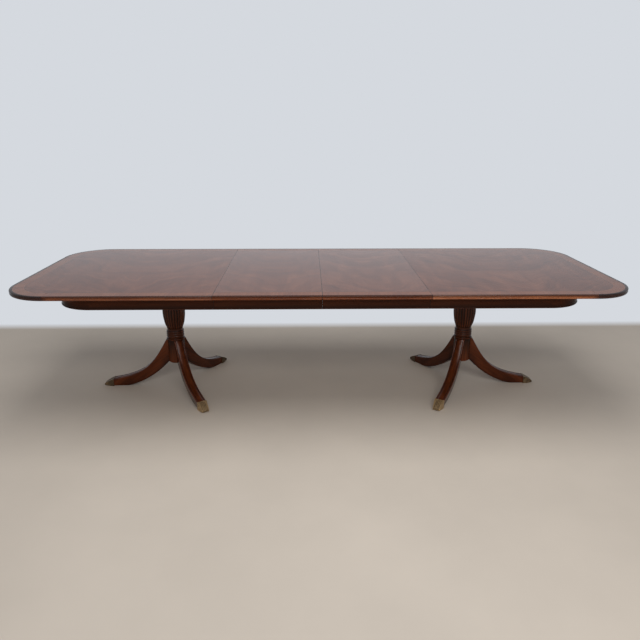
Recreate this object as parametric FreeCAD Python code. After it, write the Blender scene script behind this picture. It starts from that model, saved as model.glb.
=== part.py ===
"""Double-pedestal extension dining table with two loose leaves between its halves.

Lengths are millimetres. +X runs along the table, -Y faces the front and +Z is up, with the origin on the
floor under the centre of the top. The left half is drawn in place, and the right half is its mirror image.
"""
import FreeCAD
import Part
import math
import os

from FreeCAD import Vector

# Whole table
table_height = 750.0
table_width = 1210.0
half_length = 1098.0
leaf_length = 556.0
seam_gap = 0.6

# Top boards: a core, two veneers on it and a reeded solid edge around it
top_thickness = 22.0
veneer_thickness = 1.0
corner_radius = 250.0
band_width = 62.0
lipping_width = 16.0
lipping_reeds = 2
lipping_reed_depth = 3.5

# Apron
apron_side_inset = 50.0
apron_end_inset = 262.0
apron_corner_radius = 200.0
apron_height = 63.0
apron_thickness = 20.0
apron_bead_height = 7.0
apron_bead_proud = 2.5

# Extension slides: three members side by side, front and back
slide_overrun = 88.0
slide_height = 44.0
slide_width = 30.0
slide_gap = 1.0
slide_lane_share = 0.384
slide_tongue_depth = 9.0
slide_tongue_root = 12.0
slide_tongue_flare = 3.0
slide_clearance = 0.4
leaf_rest_gap = 0.4
tie_width = 60.0
tie_thickness = 15.0
tie_clearance = 1.0
tie_setback = 260.0

# Leaf battens, between the innermost slides
batten_width = 70.0
batten_thickness = 22.0
batten_spacing = 300.0
batten_side_clearance = 1.0
batten_chamfer = 6.0

# Locating pins in the halves, and the slots for them in the leaves, open below
pin_radius = 5.0
pin_seat = 18.0
pin_reach = 14.0
pin_nose = 2.0
pin_spacing_share = 0.61
pin_clearance = 0.4

# Table locks under the seams
lock_pivot_inset = 32.0
lock_peg_inset = 20.0
lock_plate_length = 44.0
lock_plate_width = 40.0
lock_plate_thickness = 2.5
lock_plate_corner = 5.0
lock_plate_margin = 4.0
lock_stud_radius = 4.0
lock_stud_clearance = 0.08
lock_head_radius = 8.0
lock_head_thickness = 2.0
lock_peg_radius = 3.5
lock_peg_play = 1.8
lock_height_play = 0.8
lever_thickness = 4.0
lever_boss_radius = 13.0
lever_finger = 9.0
lever_tail = 36.0
lever_tail_width = 13.0
lever_hook_angle = 24.0
lever_slot_end_angle = 10.0
lever_mouth_angle = 16.0

# Pedestals
pedestal_setback = 338.5
plate_length = 340.0
plate_width = 380.0
plate_thickness = 45.0
plate_chamfer = 12.0
bolt_radius = 4.0
bolt_clearance = 0.3
bolt_head_radius = 9.0
bolt_head_height = 6.0
bolt_head_sides = 6
bolt_bite = 15.0
bolt_spacing_x = 250.0
bolt_spacing_y = 280.0

# Turned post, from the floor upwards
hub_lift = 163.0
hub_radius = 51.0
hub_height = 145.0
hub_chamfer = 3.0
hub_flat_depth = 7.0
base_ring_proud = 5.0
groove_depth = 3.0
collar_rings = 3
collar_ring_proud = 2.2
neck_dip = 2.0
neck_ledge = 1.2
urn_radius = 67.5
urn_reeds = 24
urn_core_radius = 38.0
urn_reed_depth_share = 0.05
# Height along the urn and radius, as shares of the urn's height and largest radius
urn_outline_shares = ((0.0, 0.71), (0.1, 0.81), (0.2, 0.88), (0.32, 0.93), (0.45, 0.975), (0.6, 1.0),
                      (0.75, 0.98), (0.89, 0.89), (1.0, 0.75))
throat_radius = 42.0
astragal_proud = 7.0
capital_radius = 72.0
tenon_radius = 28.0
tenon_length = 36.0
# Heights of the mouldings, as shares of the height from the hub to the plate
base_ring_share = 0.034
groove_share = 0.018
collar_ring_share = 0.0366
neck_share = 0.0461
urn_share = 0.432
throat_share = 0.0215
astragal_share = 0.032
capital_share = 0.043

# Legs: the distance out from the post's axis, and the height
leg_spread_angle = 60.0
leg_width = 55.0
leg_reach = 466.0
leg_shoulder_reach = 58.0
leg_strap_start = 52.0
leg_strap_end = 100.0
leg_strap_drop = 49.0
leg_sole_length = 70.0
leg_toe_height = 46.5
leg_lift = 1.0
leg_arris_radius = 3.0
leg_crest_rise = 4.0
leg_bead_width = 9.0
leg_bead_rise = 3.2
leg_flank_depth = 120.0
leg_flank_taper = 14.0
# Handles of the upper and lower curves, as shares of the leg's reach and of the height of its root
leg_top_shares = ((0.333, 0.432), (0.447, 0.266))
leg_under_handle = 56.0
leg_sole_handle = 75.0
dovetail_neck = 14.0
dovetail_flare = 3.0
dovetail_depth = 14.0
dovetail_height = 110.0
dovetail_clearance = 0.25

# Brass toe caps
cap_length = 61.0
cap_proud = 1.0
cap_wall = 3.0
cap_sole = 24.0
cap_tip_rise = 6.0
cap_tip_height = 8.0
cap_crown = 3.0
cap_tip_width = 42.0
cap_tongue_share = 0.62
cap_ribs = 5
cap_rib_depth = 1.2
cap_rib_cutter = 2.0
cap_rim = 6.0

# Three-armed strap under the hub
strap_thickness = 3.0
strap_width = 26.0
strap_radius = 40.0
strap_hole_radius = 6.0
strap_end_gap = 8.0

# One overrun for every cut
overrun = 5.0

# Sizes that follow from the ones above
X_AXIS = Vector(1, 0, 0)
Y_AXIS = Vector(0, 1, 0)
Z_AXIS = Vector(0, 0, 1)
CENTRE = Vector(0, 0, 0)
quarter_angle = 90.0
full_angle = 4 * quarter_angle
leg_angles = {"end": full_angle / 2, "front": -leg_spread_angle, "back": leg_spread_angle}

half_width = table_width / 2
end_x = -(leaf_length + half_length)
half_seam_x = -(leaf_length + seam_gap / 2)
leaf_outer_x = -(leaf_length - seam_gap / 2)
leaf_inner_x = -seam_gap / 2
top_underside = table_height - top_thickness
core_top = table_height - veneer_thickness
leaf_underside = top_underside + leaf_rest_gap
apron_foot = top_underside - apron_height
slide_length = leaf_length + leaf_length + slide_overrun
slide_pitch = slide_width + slide_gap
slide_foot = top_underside - slide_height
slide_lane_start = half_width * slide_lane_share
slide_outer_y = slide_lane_start + slide_pitch + slide_pitch + slide_width
pin_height = top_underside + (top_thickness - veneer_thickness) / 2
pin_spacing = half_width * pin_spacing_share
rail_inner_y = half_width - apron_side_inset - apron_thickness
lever_hook_reach = lock_pivot_inset + lock_peg_inset + lock_peg_radius + lock_peg_play + lever_finger
lever_tail_reach = lever_tail + lever_tail_width / 2
# The open lever stands as far from the rail as from the slide
lock_y = (slide_outer_y + lever_tail_reach + rail_inner_y - lever_hook_reach) / 2
pedestal_x = -(leaf_length + pedestal_setback)
plate_underside = top_underside - plate_thickness
hub_top = hub_lift + hub_height
hub_flat = hub_radius - hub_flat_depth
shaft_height = plate_underside - hub_top
collar_ring_height = shaft_height * collar_ring_share
collar_base = hub_top + shaft_height * (base_ring_share + groove_share)
neck_base = collar_base + collar_rings * collar_ring_height
urn_base = neck_base + shaft_height * neck_share
urn_height = shaft_height * urn_share
urn_top = urn_base + urn_height
cap_start = leg_reach - cap_length
leg_sole_start = cap_start - leg_sole_length
strap_slope = math.atan2(leg_strap_drop, leg_strap_end - leg_strap_start)


class Outline:
    """A closed outline of lines, arcs and cubic curves, drawn point by point in one plane."""

    def __init__(self, place, start):
        """place turns the plane's two coordinates into a point in space."""
        self.place = place
        self.start = start
        self.last = start
        self.edges = []

    def line(self, u, v):
        """Draw a straight line to a point."""
        if (u, v) != self.last:
            self.edges.append(Part.LineSegment(self.place(*self.last), self.place(u, v)).toShape())
        self.last = (u, v)
        return self

    def arc(self, middle, end):
        """Draw an arc through a middle point to an end point."""
        self.edges.append(Part.Arc(self.place(*self.last), self.place(*middle), self.place(*end)).toShape())
        self.last = end
        return self

    def curve(self, first_handle, second_handle, end):
        """Draw a cubic curve with two handles to an end point."""
        curve = Part.BezierCurve()
        curve.setPoles([self.place(*point) for point in (self.last, first_handle, second_handle, end)])
        self.edges.append(curve.toShape())
        self.last = end
        return self

    def wire(self):
        """The edges drawn so far, as a path."""
        return Part.Wire(self.edges)

    def face(self):
        """The closed outline, as a face."""
        self.line(*self.start)
        return Part.Face(self.wire())


def in_plane(origin, across, up=Z_AXIS):
    """Places an outline's two coordinates along two directions from an origin."""
    return lambda u, v: origin + across * u + up * v


def side_plane(y=0.0):
    """The upright plane of a leg: distance out from the post's axis, and height."""
    return in_plane(Vector(0, y, 0), X_AXIS)


def box(low, high):
    """A box between its lowest and highest corners."""
    size = high - low
    return Part.makeBox(size.x, size.y, size.z, low)


def upright(radius, low, high, x=0.0, y=0.0):
    """An upright round bar between two heights."""
    return Part.makeCylinder(radius, high - low, Vector(x, y, low))


def joined(pieces):
    """Several touching pieces as one clean solid."""
    return pieces[0].multiFuse(pieces[1:]).removeSplitter()


def group(solids):
    """Separate solids that share one node."""
    return Part.makeCompound(solids)


def flipped(shape, axis):
    """The mirror image of a shape across the table's centre plane square to an axis."""
    return shape.mirror(CENTRE, axis)


def front_and_back(shape):
    """A shape and its mirror image on the other side of the table."""
    return [shape, flipped(shape, Y_AXIS)]


def turned(shape, angle, x=0.0, y=0.0):
    """A copy of a shape turned about an upright axis."""
    copy = shape.copy()
    copy.rotate(Vector(x, y, 0), Z_AXIS, angle)
    return copy


# Top of a half

def half_board(inset, low, high):
    """A board with the left half's outline, set in from its edge by a distance."""
    radius = corner_radius - inset
    outer_x = end_x + inset
    side_y = half_width - inset
    bow = radius * (1 - math.sqrt(1 / 2))
    outline = Outline(in_plane(Vector(0, 0, low), X_AXIS, Y_AXIS), (half_seam_x, -side_y))
    outline.line(outer_x + radius, -side_y)
    outline.arc((outer_x + bow, -side_y + bow), (outer_x, -side_y + radius))
    outline.line(outer_x, side_y - radius)
    outline.arc((outer_x + bow, side_y - bow), (outer_x + radius, side_y))
    outline.line(half_seam_x, side_y)
    return outline.face().extrude(Z_AXIS * (high - low))


def carried_round(section, start_x, outer_x, side_y, radius):
    """A section's face carried along the front, round the end and along the back of the left half.

    section takes the origin and the outward direction. Returns the front, end and back stretches.
    """
    corner_x = outer_x + radius
    corner_y = side_y - radius
    front = section(Vector(start_x, -side_y, 0), -Y_AXIS).extrude(X_AXIS * (corner_x - start_x))
    near = section(Vector(corner_x, -side_y, 0), -Y_AXIS)
    near = near.revolve(Vector(corner_x, -corner_y, 0), Z_AXIS, -quarter_angle)
    end = section(Vector(outer_x, -corner_y, 0), -X_AXIS).extrude(Y_AXIS * (corner_y + corner_y))
    far = section(Vector(outer_x, corner_y, 0), -X_AXIS)
    far = far.revolve(Vector(corner_x, corner_y, 0), Z_AXIS, -quarter_angle)
    back = section(Vector(corner_x, side_y, 0), Y_AXIS).extrude(X_AXIS * (start_x - corner_x))
    return front, joined([near, end, far]), back


def lipping_section(origin, outward):
    """The solid edge's section: flat inside, with reeds one above the other outside."""
    reed_height = top_thickness / lipping_reeds
    valley = lipping_width - lipping_reed_depth
    outline = Outline(in_plane(origin, outward), (0, top_underside)).line(valley, top_underside)
    for reed in range(lipping_reeds):
        low = top_underside + reed * reed_height
        outline.arc((lipping_width, low + reed_height / 2), (valley, low + reed_height))
    return outline.line(0, table_height).face()


def apron_section(origin, outward):
    """The apron's section: a flat rail with a bead along its foot."""
    bead_top = apron_foot + apron_bead_height
    outline = Outline(in_plane(origin, outward), (-apron_thickness, apron_foot)).line(0, apron_foot)
    outline.arc((apron_bead_proud, apron_foot + apron_bead_height / 2), (0, bead_top))
    return outline.line(0, top_underside).line(-apron_thickness, top_underside).face()


def half_top():
    """Core, veneers and reeded edge of the left half."""
    core = half_board(lipping_width, top_underside, core_top)
    for y in (-pin_spacing, 0, pin_spacing):
        core = core.cut(Part.makeCylinder(pin_radius, pin_seat, Vector(half_seam_x, y, pin_height), -X_AXIS))
    field = half_board(lipping_width + band_width, core_top, table_height)
    band = half_board(lipping_width, core_top, table_height).cut(field)
    edge = carried_round(lipping_section, half_seam_x, end_x + lipping_width, half_width - lipping_width,
                         corner_radius - lipping_width)
    return {"top_core": core, "top_field": field, "top_band": band, "top_edge": joined(list(edge))}


def half_apron():
    """Front, end and back rails of the left half. The end rail is bent round both corners."""
    front, end, back = carried_round(apron_section, half_seam_x, end_x + apron_end_inset,
                                     half_width - apron_side_inset, apron_corner_radius)
    return {"apron_front_rail": front, "apron_end_rail": end, "apron_back_rail": back}


def seam_pins():
    """Round-nosed pins that stand out of the left half's inner edge."""
    nose_x = half_seam_x + pin_reach
    pins = []
    for y in (-pin_spacing, 0, pin_spacing):
        start = Vector(half_seam_x - pin_seat, y, pin_height)
        pin = Part.makeCylinder(pin_radius, pin_seat + pin_reach - pin_nose, start, X_AXIS)
        nose = Part.makeCone(pin_radius, pin_radius - pin_nose, pin_nose,
                             Vector(nose_x - pin_nose, y, pin_height), X_AXIS)
        pins.append(pin.fuse(nose))
    return group(pins)


# Leaves

def pin_slot(y):
    """The room for one pin in a leaf's outer edge, open below so that the leaf lifts off it."""
    wide = pin_radius + pin_clearance
    reach = pin_reach + pin_clearance
    top = Part.makeCylinder(wide, reach + overrun, Vector(leaf_outer_x - overrun, y, pin_height), X_AXIS)
    below = box(Vector(leaf_outer_x - overrun, y - wide, leaf_underside - overrun),
                Vector(leaf_outer_x + reach, y + wide, pin_height))
    return top.fuse(below)


def leaf_strip(inner_y, outer_y, low, high):
    """A flat strip along the left leaf, between two distances from the centre line."""
    return box(Vector(leaf_outer_x, inner_y, low), Vector(leaf_inner_x, outer_y, high))


def leaf_top():
    """Core, veneers, reeded edges, apron rails and battens of the left leaf."""
    core_y = half_width - lipping_width
    field_y = core_y - band_width
    rail_y = half_width - apron_side_inset
    length = X_AXIS * (leaf_inner_x - leaf_outer_x)
    core = leaf_strip(-core_y, core_y, leaf_underside, core_top)
    for y in (-pin_spacing, 0, pin_spacing):
        core = core.cut(pin_slot(y))
    edge = lipping_section(Vector(leaf_outer_x, core_y, 0), Y_AXIS).extrude(length)
    rail = apron_section(Vector(leaf_outer_x, rail_y, 0), Y_AXIS).extrude(length)
    rail = rail.fuse(leaf_strip(rail_y - apron_thickness, rail_y, top_underside, leaf_underside))
    return {
        "core": core,
        "field": leaf_strip(-field_y, field_y, core_top, table_height),
        "band": group(front_and_back(leaf_strip(field_y, core_y, core_top, table_height))),
        "edge": group(front_and_back(edge)),
        "apron_rails": group(front_and_back(rail.removeSplitter())),
        "battens": group([batten(side) for side in (-1, 1)]),
    }


def batten(side):
    """A batten across the left leaf, with its lower arrises taken off."""
    length = slide_lane_start - batten_side_clearance
    middle_x = (leaf_outer_x + leaf_inner_x) / 2 + side * batten_spacing / 2
    low_x = middle_x - batten_width / 2
    high_x = middle_x + batten_width / 2
    foot = leaf_underside - batten_thickness
    outline = Outline(in_plane(Vector(0, -length, 0), X_AXIS), (low_x, leaf_underside))
    outline.line(low_x, foot + batten_chamfer).line(low_x + batten_chamfer, foot)
    outline.line(high_x - batten_chamfer, foot).line(high_x, foot + batten_chamfer)
    outline.line(high_x, leaf_underside)
    return outline.face().extrude(Y_AXIS * (length + length))


# Extension slides

def slide_dovetail(face_y, direction, middle_x, middle_z, grow):
    """The dovetail tongue on a side of a middle slide, grown by a clearance to cut its groove."""
    reach = slide_gap + slide_tongue_depth
    root = slide_tongue_root / 2 + grow
    tip = root + slide_tongue_flare
    place = in_plane(Vector(middle_x - slide_length / 2 - grow, face_y, middle_z), Y_AXIS * direction)
    outline = Outline(place, (0, -root)).line(reach + grow, -tip).line(reach + grow, tip).line(0, root)
    return outline.face().extrude(X_AXIS * (slide_length + grow + grow))


def slide_bar(lane, middle_x, low, high):
    """A plain slide bar on the back side of the table. Lane 0 is the innermost."""
    inner_y = slide_lane_start + lane * slide_pitch
    return box(Vector(middle_x - slide_length / 2, inner_y, low),
               Vector(middle_x + slide_length / 2, inner_y + slide_width, high))


def extension_slides():
    """The fixed slides of both halves, the middle pair that runs between them, and its ties."""
    middle_z = top_underside - slide_height / 2
    inner_face = slide_lane_start + slide_pitch
    outer_face = inner_face + slide_width
    fixed_foot = slide_foot + tie_clearance
    left = slide_bar(2, -leaf_length, fixed_foot, top_underside)
    left = left.cut(slide_dovetail(outer_face, 1, -leaf_length, middle_z, slide_clearance))
    right = slide_bar(0, leaf_length, fixed_foot, top_underside)
    right = right.cut(slide_dovetail(inner_face, -1, leaf_length, middle_z, slide_clearance))
    middle = joined([slide_bar(1, 0, slide_foot, top_underside - slide_clearance),
                     slide_dovetail(outer_face, 1, 0, middle_z, 0),
                     slide_dovetail(inner_face, -1, 0, middle_z, 0)])
    ties = []
    for x in (-tie_setback, tie_setback):
        ties.append(box(Vector(x - tie_width / 2, -outer_face, slide_foot - tie_thickness),
                        Vector(x + tie_width / 2, outer_face, slide_foot)))
    return {
        "left_slides": group(front_and_back(left)),
        "right_slides": group(front_and_back(right)),
        "middle_slides": group(front_and_back(middle)),
        "middle_slide_ties": group(ties),
    }


# Table locks, drawn under the front of the table with the lever on the left of its seam

def rounded_plate(low_x, y, high):
    """A lock's base plate with round corners, under a board."""
    plate = box(Vector(low_x, y - lock_plate_width / 2, high - lock_plate_thickness),
                Vector(low_x + lock_plate_length, y + lock_plate_width / 2, high))
    return plate.makeFillet(lock_plate_corner, [edge for edge in plate.Edges if is_upright(edge)])


def is_upright(edge):
    """Whether a straight edge stands upright."""
    run = edge.Vertexes[-1].Point - edge.Vertexes[0].Point
    return abs(run.z) > max(abs(run.x), abs(run.y))


def headed_plate(plate_x, stud_x, y, high, radius):
    """A plate with a headed stud below it, for a lever to turn on or to hook."""
    plate_foot = high - lock_plate_thickness
    head_top = plate_foot - lever_thickness - lock_height_play - lock_height_play
    stud = upright(radius, head_top - lock_head_thickness, plate_foot + lock_plate_thickness / 2, stud_x, y)
    head = upright(lock_head_radius, head_top - lock_head_thickness, head_top, stud_x, y)
    return joined([rounded_plate(plate_x, y, high), stud, head])


def pivot_plate(seam_x, y, high):
    """The plate on the left of a seam, with the stud that a lever turns on."""
    return headed_plate(seam_x - lock_plate_margin - lock_plate_length, seam_x - lock_pivot_inset, y, high,
                        lock_stud_radius)


def keeper(seam_x, y, high):
    """The plate on the right of a seam, with the peg that a lever hooks."""
    return headed_plate(seam_x + lock_plate_margin, seam_x + lock_peg_inset, y, high, lock_peg_radius)


def lock_lever(seam_x, y, high):
    """A turning lever with a hook that swings across its seam. It is drawn open, along the seam."""
    pivot_x = seam_x - lock_pivot_inset
    reach = lock_pivot_inset + lock_peg_inset
    half_slot = lock_peg_radius + lock_peg_play
    top = high - lock_plate_thickness - lock_height_play
    low = top - lever_thickness
    centre = Vector(pivot_x, y, low)

    def sector(radius, start, end):
        wedge = Part.makeCylinder(radius, lever_thickness, centre, Z_AXIS, end - start)
        return turned(wedge, start, pivot_x, y)

    hook = sector(lever_hook_reach, -lever_hook_angle, lever_mouth_angle)
    slot = sector(reach + half_slot, -lever_slot_end_angle, lever_mouth_angle + lever_mouth_angle)
    slot = slot.cut(upright(reach - half_slot, low, top, pivot_x, y))
    tail = box(Vector(pivot_x - lever_tail, y - lever_tail_width / 2, low),
               Vector(pivot_x, y + lever_tail_width / 2, top))
    tail_end = upright(lever_tail_width / 2, low, top, pivot_x - lever_tail, y)
    body = joined([hook.cut(slot), upright(lever_boss_radius, low, top, pivot_x, y), tail, tail_end])
    body = body.cut(upright(lock_stud_radius + lock_stud_clearance, low, top, pivot_x, y))
    return turned(body, -quarter_angle, pivot_x, y)


def table_locks():
    """Levers, pivot plates and keepers of the three seams."""
    front_y = -lock_y
    half_pivot = pivot_plate(-leaf_length, front_y, top_underside)
    leaf_pivot = pivot_plate(0, front_y, leaf_underside)
    left_keeper = keeper(-leaf_length, front_y, leaf_underside)
    middle_keeper = keeper(0, front_y, leaf_underside)
    right_keeper = flipped(left_keeper, X_AXIS)
    half_lever = lock_lever(-leaf_length, front_y, top_underside)
    leaf_lever = lock_lever(0, front_y, leaf_underside)
    locks = {
        "left_lock_plates": group(front_and_back(half_pivot)),
        "right_lock_plates": group(front_and_back(flipped(half_pivot, X_AXIS))),
        "leaf_left_lock_fittings": group(front_and_back(left_keeper) + front_and_back(leaf_pivot)),
        "leaf_right_lock_keepers": group(front_and_back(middle_keeper) + front_and_back(right_keeper)),
    }
    levers = {"left": half_lever, "middle": leaf_lever, "right": flipped(half_lever, X_AXIS)}
    for seam, lever in levers.items():
        locks[seam + "_lock_lever_front"], locks[seam + "_lock_lever_back"] = front_and_back(lever)
    return locks


# Pedestals, drawn about their own axis

def reed_ring(radius, height):
    """One cross-section of the reeded urn: a ring of round reeds."""
    valley = radius * (1 - urn_reed_depth_share)
    step = 2 * math.pi / urn_reeds

    def point(distance, angle):
        return Vector(distance * math.cos(angle), distance * math.sin(angle), height)

    arcs = []
    for reed in range(urn_reeds):
        start = reed * step
        crest = point(radius, start + step / 2)
        arcs.append(Part.Arc(point(valley, start), crest, point(valley, start + step)).toShape())
    return Part.Wire(arcs)


def reeded_urn():
    """The urn, lofted through rings of reeds."""
    rings = [reed_ring(radius * urn_radius, urn_base + height * urn_height)
             for height, radius in urn_outline_shares]
    return Part.makeLoft(rings, True, False)


def ring_arc(outline, radius, low, height, proud):
    """Draw a turned ring, or a groove where proud is negative, at one radius."""
    return outline.arc((radius + proud, low + height / 2), (radius, low + height))


def turned_post():
    """The post's turned body, with a plain core where the urn goes."""
    base_ring_height = shaft_height * base_ring_share
    astragal_base = urn_top + shaft_height * throat_share
    astragal_height = shaft_height * astragal_share
    astragal_top = astragal_base + astragal_height
    capital_foot = plate_underside - shaft_height * capital_share
    outline = Outline(side_plane(), (0, hub_lift)).line(hub_radius - hub_chamfer, hub_lift)
    outline.line(hub_radius, hub_lift + hub_chamfer).line(hub_radius, hub_top)
    ring_arc(outline, hub_radius, hub_top, base_ring_height, base_ring_proud)
    ring_arc(outline, hub_radius, hub_top + base_ring_height, shaft_height * groove_share, -groove_depth)
    for ring in range(collar_rings):
        ring_arc(outline, hub_radius, collar_base + ring * collar_ring_height, collar_ring_height,
                 collar_ring_proud)
    neck_radius = urn_outline_shares[0][1] * urn_radius + neck_ledge
    outline.line(neck_radius, neck_base)
    ring_arc(outline, neck_radius, neck_base, urn_base - neck_base, -neck_dip)
    outline.line(urn_core_radius, urn_base).line(urn_core_radius, urn_top)
    outline.line(throat_radius, urn_top).line(throat_radius, astragal_base)
    ring_arc(outline, throat_radius, astragal_base, astragal_height, astragal_proud)
    outline.curve((throat_radius, (astragal_top + capital_foot) / 2), (throat_radius, capital_foot),
                  (capital_radius, capital_foot))
    outline.line(capital_radius, plate_underside).line(tenon_radius, plate_underside)
    outline.line(tenon_radius, plate_underside + tenon_length).line(0, plate_underside + tenon_length)
    return outline.face().revolve(CENTRE, Z_AXIS, full_angle)


def leg_dovetail(grow):
    """The upright dovetail at a leg's root, grown by a clearance to cut its socket in the hub."""
    neck = dovetail_neck / 2 + grow
    tip = neck + dovetail_flare
    inner = hub_flat - dovetail_depth - grow
    outline = Outline(in_plane(Vector(0, 0, hub_lift), X_AXIS, Y_AXIS), (hub_flat, -neck))
    outline.line(inner, -tip).line(inner, tip).line(hub_flat, neck)
    return outline.face().extrude(Z_AXIS * (dovetail_height + grow))


def post():
    """The whole post: turned, reeded, and cut with a flat and a dovetail socket for each leg."""
    body = joined([turned_post(), reeded_urn()])
    seat = box(Vector(hub_flat, -leg_width / 2, hub_lift - overrun),
               Vector(hub_radius + overrun, leg_width / 2, hub_top))
    socket = seat.fuse(leg_dovetail(dovetail_clearance))
    for angle in leg_angles.values():
        body = body.cut(turned(socket, angle))
    return body


def leg_top_points():
    """Start, two handles and end of the curve along the crest of a leg."""
    handles = [(leg_reach * out, hub_top * up) for out, up in leg_top_shares]
    return [(leg_shoulder_reach, hub_top)] + handles + [(cap_start, leg_toe_height)]


def unit(start, end):
    """The direction from one point of a plane to another."""
    length = math.hypot(end[0] - start[0], end[1] - start[1])
    return ((end[0] - start[0]) / length, (end[1] - start[1]) / length)


def leg_blank():
    """A leg sawn to its side outline, a little full along the top and on both sides."""
    start, first, second, end = leg_top_points()
    full = leg_crest_rise
    half = leg_width / 2 + overrun
    first_way = unit(start, first)
    last_way = unit(second, end)

    def raised(point, way):
        return (point[0] - way[1] * full, point[1] + way[0] * full)

    strap_foot = hub_lift - leg_strap_drop
    slope = unit((leg_strap_start, hub_lift), (leg_strap_end, strap_foot))
    slope_handle = (leg_strap_end + slope[0] * leg_under_handle, strap_foot + slope[1] * leg_under_handle)
    outline = Outline(side_plane(-half), (hub_flat, hub_lift)).line(leg_strap_start, hub_lift)
    outline.line(leg_strap_end, strap_foot)
    outline.curve(slope_handle, (leg_sole_start - leg_sole_handle, leg_lift), (leg_sole_start, leg_lift))
    outline.line(cap_start, leg_lift).line(*raised(end, last_way))
    outline.curve(raised(second, last_way), raised(first, first_way), raised(start, first_way))
    outline.line(hub_flat, raised(start, first_way)[1])
    return outline.face().extrude(Y_AXIS * (half + half))


def is_lower_arris(edge):
    """Whether an edge runs along the underside of a leg, beyond the strap."""
    extent = edge.BoundBox
    return extent.XLength > leg_sole_length / 2 and extent.ZMax < hub_lift - leg_strap_drop / 2


def crest_run():
    """Points of the line along a leg's crest, which runs on straight past both of its ends."""
    start, first, second, end = leg_top_points()
    first_way = unit(start, first)
    last_way = unit(second, end)
    lead = (start[0] - first_way[0] * leg_width, start[1] - first_way[1] * leg_width)
    tail = (end[0] + last_way[0] * leg_width, end[1] + last_way[1] * leg_width)
    return [lead, start, first, second, end, tail]


def crest_cutter():
    """What is taken off the top of a leg's blank to leave a round crest between two beads."""
    lead, start, first, second, end, tail = crest_run()
    path = Outline(side_plane(), lead).line(*start).curve(first, second, end).line(*tail)
    way = unit(lead, start)
    outward = Vector(-way[1], 0, way[0])
    edge_y = leg_width / 2
    outer_y = edge_y + overrun + overrun
    groove_y = edge_y - leg_bead_width
    groove = -leg_crest_rise
    bead_y = edge_y - leg_bead_width / 2
    section = Outline(in_plane(side_plane()(*lead), Y_AXIS, outward), (-edge_y, groove))
    section.arc((-bead_y, groove + leg_bead_rise), (-groove_y, groove)).arc((0, 0), (groove_y, groove))
    section.arc((bead_y, groove + leg_bead_rise), (edge_y, groove)).line(outer_y, groove)
    section.line(outer_y, edge_y).line(-outer_y, edge_y).line(-outer_y, groove).line(-edge_y, groove)
    return path.wire().makePipeShell([section.wire()], True, False)


def flank_cutter():
    """What is taken off one side of a leg's blank, so that the flank slopes in below the crest."""
    lead, start, first, second, end, tail = crest_run()
    along = unit(start, end)
    inward = (along[1], -along[0])
    slope = leg_flank_depth / leg_flank_taper
    outer_y = leg_width / 2 + overrun + overrun
    rise = (overrun + overrun) * slope - leg_crest_rise / 2

    def moved(point, depth):
        return (point[0] + inward[0] * depth, point[1] + inward[1] * depth)

    outline = Outline(side_plane(outer_y), moved(lead, -rise)).line(*moved(start, -rise))
    outline.curve(moved(first, -rise), moved(second, -rise), moved(end, -rise)).line(*moved(tail, -rise))
    outline.line(*moved(tail, leg_reach)).line(*moved(lead, leg_reach))
    return outline.face().extrude(Vector(inward[0] * slope, -1, inward[1] * slope) * outer_y)


def cap_tongue():
    """The reduced end of a leg that fills its toe cap."""
    length = cap_length * cap_tongue_share
    half = cap_tip_width / 2 - cap_wall
    root_top = leg_toe_height - cap_wall
    fall = (leg_toe_height - cap_tip_height - cap_tip_rise) * cap_tongue_share
    foot = leg_lift + cap_wall
    outline = Outline(side_plane(-half), (cap_start - overrun, foot)).line(cap_start, foot)
    outline.line(cap_start + length, foot + cap_tip_rise * cap_tongue_share)
    outline.line(cap_start + length, root_top - fall).line(cap_start, root_top)
    outline.line(cap_start - overrun, root_top)
    return outline.face().extrude(Y_AXIS * (half + half))


def leg():
    """A sabre leg with a beaded crest, a dovetail at its root and a tongue for its toe cap."""
    flank = flank_cutter()
    body = leg_blank().cut(crest_cutter()).cut(flank).cut(flank.mirror(CENTRE, Y_AXIS))
    body = body.makeFillet(leg_arris_radius, [edge for edge in body.Edges if is_lower_arris(edge)])
    body = body.common(box(Vector(hub_flat, -leg_width, 0), Vector(cap_start, leg_width, hub_top)))
    return joined([body, leg_dovetail(0), cap_tongue()])


def toe_cap():
    """A cast toe cap: ribbed on top, flat under its heel, hollow for the leg's tongue."""
    half = leg_width / 2 + cap_proud
    tip_half = cap_tip_width / 2
    heel_top = leg_toe_height + cap_proud
    tip_top = cap_tip_rise + cap_tip_height
    crown = ((cap_start + leg_reach) / 2, (heel_top + tip_top) / 2 + cap_crown)
    outline = Outline(side_plane(-half), (cap_start, 0)).line(cap_start + cap_sole, 0)
    outline.line(leg_reach, cap_tip_rise).line(leg_reach, tip_top).arc(crown, (cap_start, heel_top))
    top_arc = outline.edges[-1].Curve
    body = outline.face().extrude(Y_AXIS * (half + half))
    plan = Outline(in_plane(CENTRE, X_AXIS, Y_AXIS), (cap_start, -half)).line(cap_start + cap_rim, -half)
    plan.line(leg_reach - cap_wall, -tip_half).line(leg_reach, -tip_half + cap_wall)
    plan.line(leg_reach, tip_half - cap_wall).line(leg_reach - cap_wall, tip_half)
    plan.line(cap_start + cap_rim, half).line(cap_start, half)
    body = body.common(plan.face().extrude(Z_AXIS * leg_width * 2)).cut(cap_tongue())
    pitch = cap_tip_width / cap_ribs
    beyond_rim = box(Vector(cap_start + cap_rim, -half, 0), Vector(leg_reach + overrun, half, leg_width * 2))
    for groove in range(1, cap_ribs):
        y = -tip_half + groove * pitch
        cutter = Part.makeTorus(top_arc.Radius + cap_rib_cutter - cap_rib_depth, cap_rib_cutter,
                                Vector(top_arc.Center.x, y, top_arc.Center.z), Y_AXIS)
        body = body.cut(cutter.common(beyond_rim))
    return body


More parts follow.
